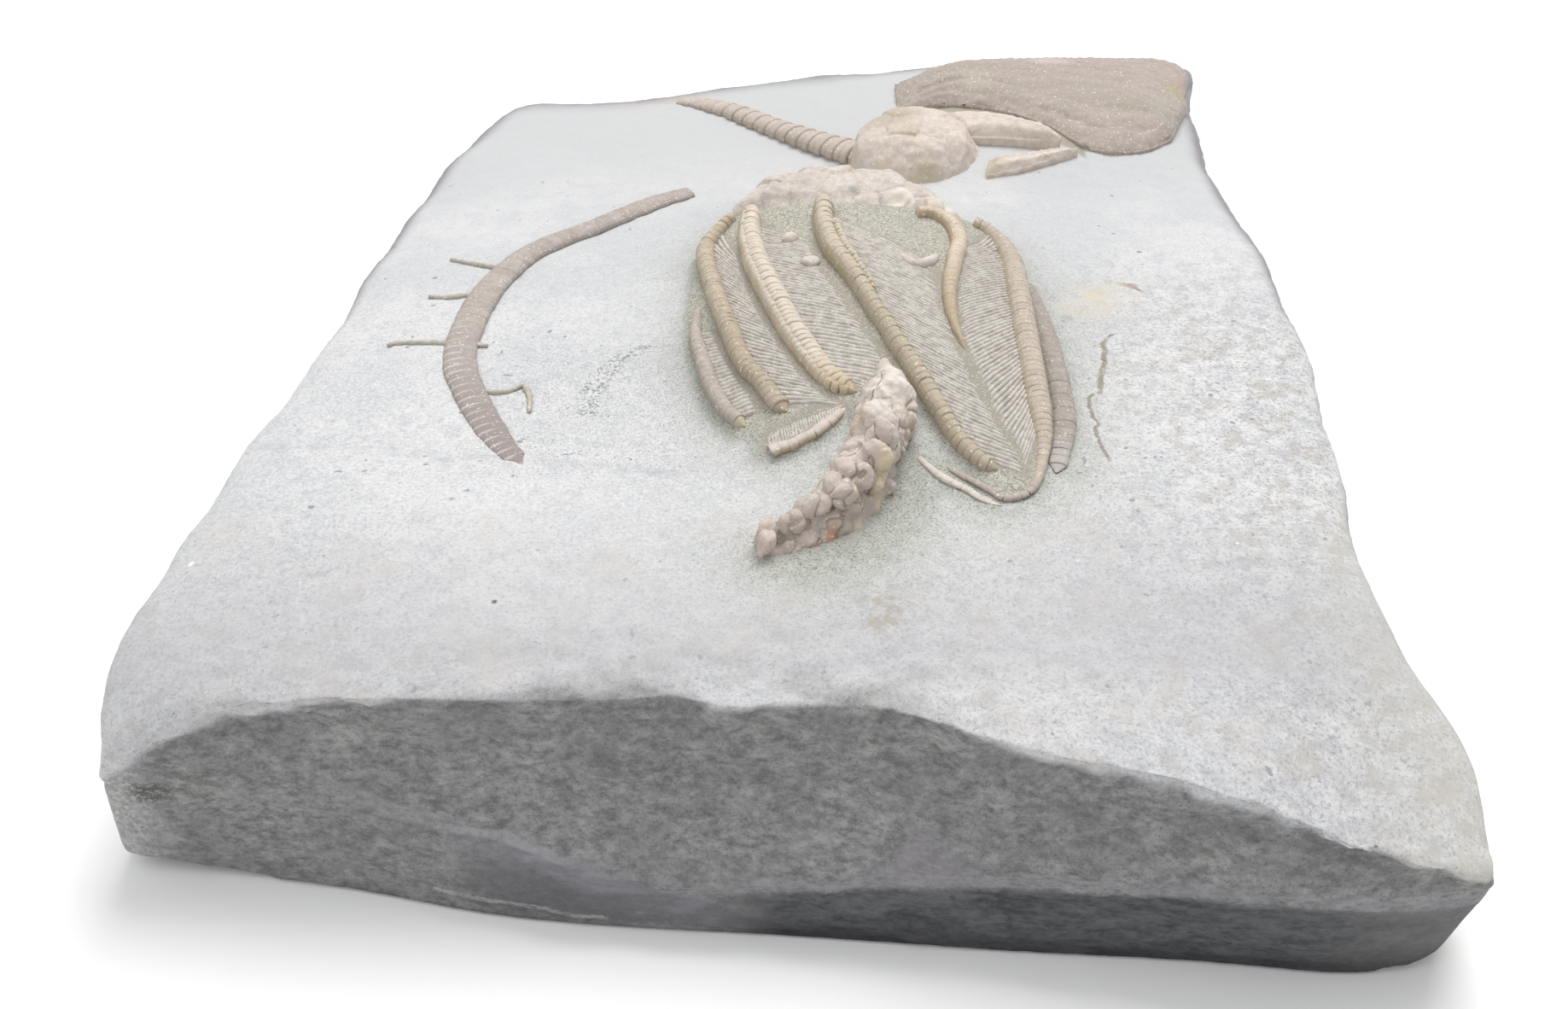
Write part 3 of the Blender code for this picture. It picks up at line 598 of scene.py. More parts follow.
def branchBends(arm, field):  # start, middle and end of each side branch
    route, far = Route(arm["route"]), Route(field["far"])
    start, end = field["span"]
    count = round(route.length * (end - start) / field["pitch"])
    bends = []
    for index in range(count):
        reach = (index + 0.5) / count
        share = start + (end - start) * reach
        x0, y0 = route.spot(share)
        dx, dy = route.heading(share)
        edge = spread(arm["halfWidth"], share) * 0.75 * field["side"]
        x0, y0 = x0 - dy * edge, y0 + dx * edge
        x1, y1 = far.spot(field["slant"] + (1 - field["slant"]) * reach)
        length = random.uniform(0.94, 1.02)
        x1, y1 = x0 + (x1 - x0) * length, y0 + (y1 - y0) * length
        size = math.hypot(x1 - x0, y1 - y0)
        midX = (x0 + x1) / 2 + dx * field["bow"] * size
        midY = (y0 + y1) / 2 + dy * field["bow"] * size
        bends.append(np.array([(x0, y0), (midX, midY), (x1, y1)]))
    return bends


def branchLines(arm, field):
    bends, lines = branchBends(arm, field), []
    for index, (first, middle, last) in enumerate(bends):
        beside = bends[index - 1 if index else min(1, len(bends) - 1)]
        steps = max(5, round(float(np.hypot(*(last - first))) / field["step"]))
        wander, line = random.uniform(0, 50), []
        for step in range(steps + 1):
            t = step / steps
            weights = ((1 - t) ** 2, 2 * t * (1 - t), t * t)
            place = sum(w * p for w, p in zip(weights, (first, middle, last)))
            away = sum(w * p for w, p in zip(weights, beside)) - place
            ahead = (1 - t) * (middle - first) + t * (last - middle)
            gap = abs(ahead[0] * away[1] - ahead[1] * away[0]) / float(np.hypot(*ahead))
            drift = noise.noise(Vector((wander, t * 3, 0)))
            x, y = place + np.array([1, 0.5]) * field["wander"] * drift
            thinner, bead = 1.08 - 0.4 * ease(t, 0.7, 1), 1.07 if step % 2 else 0.95
            radius = min(field["radius"], max(field["thin"], 0.5 * gap)) * thinner * bead
            z = rockTop(x, y) + field["lift"] * (1 - 0.2 * t) - 0.2 * ease(t, 0.85, 1)
            line.append((x, y, z, radius))
        lines.append(line)
    return lines


# Finishes; colours are display colours, and places are in mm

marks = {  # lines and spots on the bedding face, in mm
    "vein": [(-15.5, 27.2), (-13.6, 27.7), (-11.1, 28.2), (-9.4, 28.7), (-7.5, 29.1), (-6, 29.1),
             (-4.8, 29.6), (-4, 30.5), (-3.9, 31.6)],
    "veinThin": [(-27, 26.2), (-25.5, 26), (-24.1, 25.9), (-22.9, 25.8), (-21.5, 25.9), (-20.9, 26.3),
                 (-19.9, 26), (-18.1, 25.9), (-16.4, 26.1), (-15.5, 26.7)],
    "veinHook": [(31.1, 6.1), (32, 6.5), (32.8, 5.9), (33.8, 5.6), (34.7, 4.4)],
    "veinDrop": [(0.9, 33.7), (2.1, 34.2), (3.5, 34.7), (4.8, 34.6)],
    "pits": [(-18.6, -18.3), (-15, -18.4), (-12, -17.4), (-9.6, -16.4), (-6.5, -14.6)],
    "crack": [(-27.6, -21.6), (-25.8, -18.6), (-24.6, -16.4)],
    "step": [(-46, -23.9), (-34, -25.6), (-22.3, -27.2), (-14, -28.6), (-9.4, -29.1)],
    "stain": (29.2, 2.6, 5, 5), "smudge": (6.4, -46.3, 2.4, 3.4),
    "dots": [(-22.5, -45.5, 0.2), (6.1, -7.5, 0.15), (16.2, -24.5, 0.15), (-3.4, -38.6, 0.1)],
    "flint": [(-27, 1.6), (-22, 1.3), (-19.5, 1.2), (-14, 0.9)],
    "split": [(-48.5, 11), (-45, 10.3), (-42, 9.2)],
    "shadowUnderArms": [(15.5, 48.6), (19.5, 48.4), (24, 46.6), (28, 43), (31, 39), (33.5, 35.6)],
    "backRim": [(-24, 56.6), (-18, 56.2), (-13, 55)],
    "blots": [(33.8, 5.6, 0.8, (174, 156, 154)), (26.3, -0.9, 0.8, (176, 180, 174)),
              (27.9, -1.9, 0.5, (176, 180, 174)), (29.7, 3.5, 1.3, (218, 206, 186))],
    "specks": [(34, -39.1, 0.15), (-46.7, -40.2, 0.2), (21.4, -41, 0.1)],
}
undercut = [(-52, 4), (-8, 4), (0, 4.9), (10, 6), (20, 7.2), (28, 8), (38, 7.8), (52, 6.4)]
shelfEdge = [(-52, -4), (-30, -1.5), (-28, 2.5), (-25.4, 7.5), (-22, 7.2), (-19, 6.6), (-15, 5.7),
             (-11, 4.7), (-8, 3.4), (-5, 1.5), (52, 0)]


def beddingFace(finish, x, y, clouds):
    cloud, painted = finish.noise, finish.painted
    middle, mottle, fine, dust = clouds
    slow, lumps = cloud(0.05, 4, 0.6), cloud(0.7, 5, 0.72)
    calm = y.band(-16, 26, 1, 0.35)  # the far end is smoother
    worn = x.band(16, 42) * y.band(24, -14) + y.band(-30, -48, 0, 0.55) * x.band(40, 10)
    nearEnd = y.band(-30, -50, 0, 0.45) * y.band(-56, -51, 0.35, 1)
    pale = x.near(-16, 22) * y.near(-40, 12)
    edgeward = x.band(34, 48) * y.band(-24, -44) * lumps.band(0.4, 0.6, 0.2, 0.7)
    halo = painted("halo")
    bed = finish.coats(  # the ground inside the crown
        finish.mix(fine.band(0.35, 0.65), (204, 200, 188), (158, 156, 142)),
        (middle.band(0.48, 0.62, 0, 0.55), (172, 172, 158)),
        (dust.band(0.52, 0.68, 0, 0.6), (116, 114, 102)),
        # painted shade in the gaps between the side branches, with the darker ground there
        (painted("groove") * 0.8, (164, 156, 145)),
        (dust.band(0.4, 0.32, 0, 0.8), (240, 238, 230)))
    top = finish.coats(
        finish.mix(slow.band(0.38, 0.62), (208, 209, 211), (220, 220, 221)),
        (middle.band(0.5, 0.68, 0, 0.45), (199, 201, 204)),
        (mottle.band(0.48, 0.7, 0, 0.55) * calm, (190, 192, 196)),
        (fine.band(0.5, 0.68, 0, 0.5) * calm, (180, 182, 186)),
        (fine.band(0.5, 0.34, 0, 0.5) * calm, (238, 238, 236)),
        (dust.band(0.58, 0.72, 0, 0.6) * calm, (150, 150, 150)),
        (worn * lumps.band(0.5, 0.6, 0.1, 0.65), (182, 182, 187)),
        (worn * lumps.band(0.47, 0.38, 0, 0.5), (236, 236, 232)),
        (worn * cloud(0.35, 4, 0.65).band(0.52, 0.64, 0, 0.5), (190, 184, 172)),
        (worn * fine.band(0.53, 0.66, 0, 0.7), (152, 151, 152)),
        (worn * dust.band(0.42, 0.3, 0, 0.5), (244, 244, 240)),
        (cloud(0.16, 3, 0.6).band(0.5, 0.66, 0, 0.4) * y.band(-20, -50), (206, 199, 190)),
        (cloud(1, 1, 0.5).band(0.74, 0.78, 0, 0.8), (140, 144, 152)),  # small pits
        (nearEnd * 1.2, (186, 186, 189)),
        (y.band(16, 44, 0, 0.9), (204, 205, 206)),
        (pale * 0.14, (240, 240, 240)),
        (edgeward, (204, 202, 192)),
        # painted shade around the fossils, together with the darker speckled stone there
        (halo * mottle.band(0.25, 0.65, 0.5, 1), (178, 180, 168)),
        (halo * dust.band(0.48, 0.64, 0, 0.9), (116, 119, 107)),
        (painted("crown") * 0.95, bed))

    wobble = mottle * 0.8 - 0.4
    vein = (x + wobble * 1.1).stroke(y, marks["vein"], 0.36) * mottle.band(0.34, 0.5, 0.45, 1)
    vein = vein + (y + wobble).stroke(x, marks["veinDrop"], 0.6) * 0.8
    thin = (x + wobble * 0.7).stroke(y, marks["veinThin"], 0.26)
    thin = thin + (y + wobble).stroke(x, marks["veinHook"], 0.6) * x.band(32.2, 33.4, 0.3, 1)
    rough = (x + middle * 3 - 1.5).stroke(y, marks["pits"], 1.5) + (x + wobble).stroke(y, marks["crack"], 0.4)
    step = (y + middle * 2 - 1).stroke(x, marks["step"], 1)
    # painted shadow under the near edge of the second crown's arms
    gap = (y + middle * 1.6 - 0.8).stroke(x, marks["shadowUnderArms"], 2.2)
    rim = (y + middle * 3 - 1.5).stroke(x, marks["backRim"], 2.4) * x.band(-25, -20) * x.band(-12, -15)
    # painted shade along the top's edge, strongest at the back
    shade = painted("brink") * y.band(-24, 24, 0.1, 1)
    grains = x.near(-17, 14) * y.near(-19, 15)  # more worn between the stem and the crown
    px, py, wide, deep = marks["stain"]
    stain = x.near(px + y * 0.3, wide) * y.near(py, deep)
    top = finish.coats(
        top,
        (vein * 0.75, finish.mix(middle.band(0.42, 0.58), (136, 122, 108), (142, 134, 104))),
        (thin * mottle.band(0.3, 0.45, 0.4, 1) * 0.7, (132, 120, 104)),
        (rough * fine.band(0.5, 0.58, 0, 0.75), (128, 130, 130)),
        (step * middle.band(0.4, 0.6, 0, 0.35), (184, 186, 190)),
        (gap * 0.85, (164, 157, 136)),
        (rim * middle.band(0.3, 0.6, 0.2, 0.6), (206, 192, 182)),
        (shade.band(0.18, 0.68, 0, 0.9), (150, 146, 152)),
        (grains * dust.band(0.5, 0.66, 0, 0.5), (150, 152, 152)),
        (stain * middle.band(0.3, 0.7, 0.1, 0.6), (212, 204, 184)))
    for px, py, size, colour in marks["blots"]:
        reach = awayFrom(x, y, px, py) + middle * 1.2 - 0.6
        top = finish.mix(reach.band(size * 0.4, size, 0.75, 0), top, colour)
    px, py, wide, deep = marks["smudge"]
    smudge = x.near(px, wide) * y.near(py, deep) * mottle.band(0.42, 0.6)
    top = finish.mix(smudge * 0.7, top, (176, 170, 158))
    for spots, colour in (("dots", (112, 110, 104)), ("specks", (250, 250, 248))):
        for px, py, size in marks[spots]:
            reach = awayFrom(x, y, px, py) + mottle * 0.5
            top = finish.mix(reach.band(size + 0.1, size + 0.35, 1, 0), top, colour)
    return top


def rockFinish():
    finish = Finish("siltstone", 0.9)
    cloud, mix = finish.noise, finish.mix
    x, y, z = finish.across("X"), finish.across("Y"), finish.across("Z")
    middle, mottle, fine, dust = cloud(0.42, 4, 0.6), cloud(1.1, 3, 0.65), cloud(3, 3, 0.7), cloud(6, 2, 0.7)
    top = beddingFace(finish, x, y, (middle, mottle, fine, dust))

    grain, coarse = cloud(2.2, 5, 0.74), cloud(0.25, 3, 0.5)
    flakes, scales = cloud(2, 4, 0.7, (0.7, 0.7, 1.25)), cloud(0.75, 6, 0.78, (0.75, 0.75, 1.5))
    beds = cloud(0.4, 5, 0.75, (0.6, 0.6, 2.4))
    over = z - x.follow(block["ridge"]) + coarse * 1 - 0.5
    lower = z - (x + (coarse - 0.5) * 6).follow(shelfEdge) + (coarse - 0.5) * 1.2
    smooth = lower.band(0.9, -0.5) * z.band(0.3, 1.2, 0.5, 1)
    shelf = finish.coats(
        mix(beds.band(0.35, 0.65), (118, 118, 124), (146, 146, 153)),
        (lower.band(-0.6, -4, 0, 0.85), (92, 92, 96)),
        (beds.band(0.64, 0.7, 0, 0.6), (176, 176, 180)))
    # painted highlight along the ledge and the shelf's edge
    rise = over.near(0, 0.9) * x.band(-40, -30, 0, 0.4) * x.band(-24, -28)
    rise = rise + lower.near(0, 0.5) * x.band(-27, -24) * x.band(-12, -20)
    facet = over.band(0.3, -0.5) * x.near(9.4, 5)
    dip = z - x.follow(undercut) + (grain - 0.5) * 1.2
    # painted shade under the ledge, with the stone's streaks in it, darkest near the bottom
    undercutShadeAndStreaks = finish.coats(
        mix((beds * 0.6 + flakes * 0.4).band(0.35, 0.65), (112, 113, 116), (70, 71, 73)),
        (x.band(32, 46, 0, 0.45), (140, 140, 138)),
        (z.band(3, 0.4, 0, 0.6), (50, 50, 52)))
    # painted highlight on the lip just above the shaded undercut
    crest = (dip + (coarse - 0.5) * 1.5).near(0.6, 0.9) * flakes.band(0.3, 0.6, 0.2, 1) * x.band(-12, -4)
    flint = (z + (grain - 0.5) * 0.8).stroke(x, marks["flint"], 0.3) * beds.band(0.4, 0.55, 0.2, 1)
    broken = finish.coats(
        mix((scales * 0.6 + flakes * 0.4).band(0.34, 0.66), (110, 110, 110), (172, 172, 171)),
        (coarse.band(0.4, 0.65, 0, 0.3), (120, 120, 122)),
        (scales.band(0.58, 0.68, 0, 0.5) * x.band(0, 16, 0.3, 1), (176, 176, 173)),
        (dust.band(0.56, 0.7, 0, 0.5), (78, 78, 80)),
        (smooth * x.band(-30, -19, 0, 0.75), shelf),
        (rise * grain.band(0.3, 0.6, 0.3, 0.8), (172, 172, 176)),
        (facet * 0.65, mix(flakes.band(0.3, 0.7), (136, 133, 138), (156, 153, 158))),
        (dip.band(0.2, -0.8) * x.band(-9, 0), undercutShadeAndStreaks),
        (crest * 0.5, (156, 157, 163)),
        (flint * 0.7, (186, 184, 180)))

    split = (z + (grain - 0.5) * 1.5).stroke(x, marks["split"], 0.35)
    pit = (x + flakes * 2).near(-46.2, 2) * (z + flakes * 1.2).near(9.4, 1.2) * grain.band(0.4, 0.56)
    corner = x.band(-45.5, -50) * grain.band(0.34, 0.6, 0.9, 0.35) * (1 - pit)
    edge = z - x.follow(block["rim"]) + (coarse - 0.5) * 1.4 + (grain - 0.5) * 0.5
    frontFace = finish.painted("front")
    front = frontFace * edge.band(0.5, -0.5) * (1 - corner)
    wall = finish.painted("wall") * (1 - frontFace)
    colour = finish.coats(
        top,
        (wall * 0.75, mix(beds.band(0.35, 0.65), (186, 186, 186), (150, 151, 153))),
        (front, broken),
        (frontFace * (pit + split * flakes.band(0.4, 0.6, 0.1, 0.6)) * 0.8, (92, 90, 84)))
    height = fine * 0.6 + mottle * 0.35 + front * (grain * 1.2 + flakes * 0.8)
    return finish.wear(colour, height, 0.6, 0.14, fine.band(0.3, 0.7, 0.84, 0.96))


def fossilFinish(name, look):
    finish = Finish(name, 0.75)
    slow, middle, fine = finish.noise(0.22, 3, 0.6), finish.noise(1.3, 3, 0.6), finish.noise(5, 3, 0.65)
    painted, layers = finish.painted, []
    if "streak" in look:  # along the arms of a bundle
        layers.append((finish.noise(0.9, 2, 0.5, look["stretch"]).band(0.4, 0.66, 0, 0.45), look["streak"]))
    if "edge" in look:  # the side that faces left is darkened as painted shade, with a stain's tint
        layers.append((painted("across").band(0.45, 1) * slow.band(0.3, 0.6, 0.3, 0.8), look["edge"]))
    if "tip" in look:
        layers.append((painted("share").band(*look.get("tipSpan", (0.8, 1))), look["tip"]))
    if "seam" in look:
        seam = painted("seam").band(0.66, 0.96) * look["seam"]
        if "seamSpan" in look:  # clear only in part of the length, on the left
            seam = seam * painted("share").band(*look["seamSpan"], 0.25, 1)
            seam = seam * painted("across").band(-0.4, 0.3, 0.3, 1)
        layers.append((seam, look.get("joint", (140, 128, 108))))
    if "tone" in look:
        layers.append((painted("tone").band(0.1, 0.9, 0, look["tone"]), look["dull"]))
    # spots are stains, and one pale spot on the tube's end is painted light
    for px, py, size, stain in look.get("spots", []):
        reach = awayFrom(finish.across("X"), finish.across("Y"), px, py) + middle * 1.2 - 0.6
        layers.append((reach.band(size * 0.3, size, 0.75, 0), stain))
    layers.append((fine.band(0.6, 0.75, 0, 0.4), look.get("fleck", (160, 150, 132))))
    layers.append((finish.noise(4, 1, 0.5).band(0.66, 0.72, 0, 0.8), (244, 241, 234)))  # white flecks
    colour = finish.coats(finish.mix(middle.band(0.35, 0.68), look["crest"], look["shade"]), *layers)
    return finish.wear(colour, fine * 0.6 + middle * 0.5, 0.4, 0.08, fine.band(0.3, 0.7, 0.62, 0.82))


rockLook = rockFinish()
# In each look, edge is the colour of the painted shade, tinted, on the side that faces left
creamArm = {
    "crest": (229, 218, 203), "shade": (214, 202, 186), "edge": (188, 170, 138), "seam": 0.4,
    "tip": (204, 187, 160), "tone": 0.2, "dull": (210, 197, 179), "joint": (166, 146, 116),
}
creamLook = fossilFinish("arm.cream", creamArm)
tanLook = fossilFinish("arm.tan", {
    **creamArm, "crest": (199, 185, 167), "shade": (184, 169, 150), "tip": (182, 168, 148),
    "tipSpan": (0.3, 0.8), "seam": 0.3, "edge": (194, 180, 154),
})
fadedLook = fossilFinish("arm.faded", {
    **creamArm, "crest": (212, 201, 184), "shade": (198, 186, 168), "tip": (188, 176, 156),
    "tipSpan": (0.25, 0.6), "seam": 0.4, "edge": (176, 162, 126),
})
roseLook = fossilFinish("arm.rose", {
    **creamArm, "crest": (199, 187, 173), "shade": (184, 172, 158), "seam": 0.3, "tip": (184, 173, 167),
    "tipSpan": (0.78, 0.9), "edge": (190, 176, 152),
})
paleLook = fossilFinish("arm.pale", {
    **creamArm, "crest": (220, 211, 204), "shade": (206, 196, 188), "seam": 0.1, "tip": (212, 200, 186),
})
mauveLook = fossilFinish("arm.mauve", {
    "crest": (193, 183, 175), "shade": (175, 165, 156), "edge": (172, 161, 146), "seam": 0.2,
    "tone": 0.15, "dull": (184, 175, 166), "tip": (206, 196, 170), "tipSpan": (0.93, 0.99),
})
# painted shade: a darker copy of the mauve look, for the far right arm
shadedMauveLook = fossilFinish("arm.mauveShaded", {
    "crest": (178, 169, 162), "shade": (162, 153, 145), "edge": (162, 153, 141), "seam": 0.12,
    "tone": 0.1, "dull": (172, 163, 156), "tip": (192, 186, 180), "tipSpan": (0.8, 1),
})
brownLook = fossilFinish("arm.brown", {
    "crest": (222, 207, 190), "shade": (205, 188, 168), "edge": (186, 166, 136), "seam": 0.06,
    "tip": (188, 171, 146), "tipSpan": (0.35, 0.85),
})
tipLook = fossilFinish("arm.tip", {"crest": (224, 216, 208), "shade": (208, 198, 188)})
branchLook = fossilFinish("branch.calcite", {
    "crest": (211, 206, 199), "shade": (184, 178, 170), "fleck": (140, 132, 120),
})
stemLook = fossilFinish("stem.calcite", {
    "crest": (190, 181, 175), "shade": (175, 165, 158), "edge": (172, 162, 147), "seam": 0.9,
    "joint": (224, 219, 212), "tone": 0.3, "dull": (160, 150, 143), "tip": (156, 145, 144),
    "tipSpan": (0.55, 0.98), "seamSpan": (0.5, 0.68),
})
shootLook = fossilFinish("stem.shoots", {"crest": (202, 196, 185), "shade": (186, 179, 166)})
farStemLook = fossilFinish("stem.far", {
    "crest": (208, 196, 188), "shade": (194, 182, 173), "edge": (186, 173, 157), "seam": 0.1,
    "joint": (180, 164, 144), "tone": 0.3, "dull": (194, 181, 168),
})
plateLook = fossilFinish("crown.plates", {
    "crest": (222, 213, 206), "shade": (205, 194, 186), "seam": 0.4, "joint": (176, 158, 134),
    "tone": 0.35, "dull": (200, 188, 178),
    "spots": [(7.5, 13.6, 1.4, (200, 181, 150)), (11.2, 15.5, 2.2, (244, 234, 221)),
              (15.2, 13.6, 3, (240, 228, 213)), (17.4, 14.4, 1, (200, 182, 152)),
              (-6, 13.8, 1.5, (204, 186, 156)),
              (6.4, 20.4, 1.2, (206, 188, 152)), (-2.6, 12.6, 1.2, (206, 188, 162)),
              (6.3, 16.6, 0.9, (168, 164, 162))],
})
tubeLook = fossilFinish("tube.plates", {
    "crest": (234, 226, 218), "shade": (211, 200, 190), "seam": 0.95, "joint": (152, 132, 116),
    "tone": 0.6, "dull": (192, 180, 168), "tip": (209, 196, 188), "tipSpan": (0.1, 0.6),
    "spots": [(3.1, -38.4, 1.1, (216, 156, 124)), (1.9, -39.3, 0.8, (186, 150, 140)),
              (0.3, -40.7, 0.9, (214, 148, 120)), (7.2, -33.9, 1.4, (230, 214, 176)),
              # the large pale spot at the tube's end is painted light over its shade
              (5.6, -36.6, 1.2, (222, 202, 158)), (-2.8, -40.6, 2.2, (224, 206, 198)),
              (9.9, -27.6, 1.1, (190, 164, 130)), (5, -28.2, 1.2, (206, 184, 158)),
              (9.2, -31.6, 0.9, (240, 222, 200))],
})
secondLook = fossilFinish("second.crown", {
    "crest": (228, 217, 208), "shade": (212, 198, 187), "seam": 0.14, "tone": 0.3,
    "dull": (208, 194, 182), "edge": (196, 187, 166), "joint": (186, 172, 150),
    "spots": [(11.6, 38.6, 4.6, (190, 177, 160)), (9.4, 29.5, 2.6, (212, 198, 172)),
              (15, 29, 2.8, (196, 184, 158)), (22, 31.5, 2.4, (196, 186, 160)),
              (13, 34, 1.6, (206, 192, 172))],
})
farArmLook = fossilFinish("second.arms", {
    "crest": (190, 177, 171), "shade": (177, 164, 158), "seam": 0.35, "joint": (156, 150, 132),
    "tone": 0.3, "dull": (172, 162, 150), "stretch": (0.1, 0.55, 0.5), "streak": (168, 160, 146),
    "spots": [(47.5, 51, 3.4, (178, 168, 132)), (45.5, 44, 4.6, (178, 173, 164)),
              (49, 55, 3, (190, 166, 156)), (33, 60.5, 4, (208, 194, 188)),
              (22.5, 52.5, 3, (190, 180, 166))],
})
print("finishes")


# The arms of the main crown

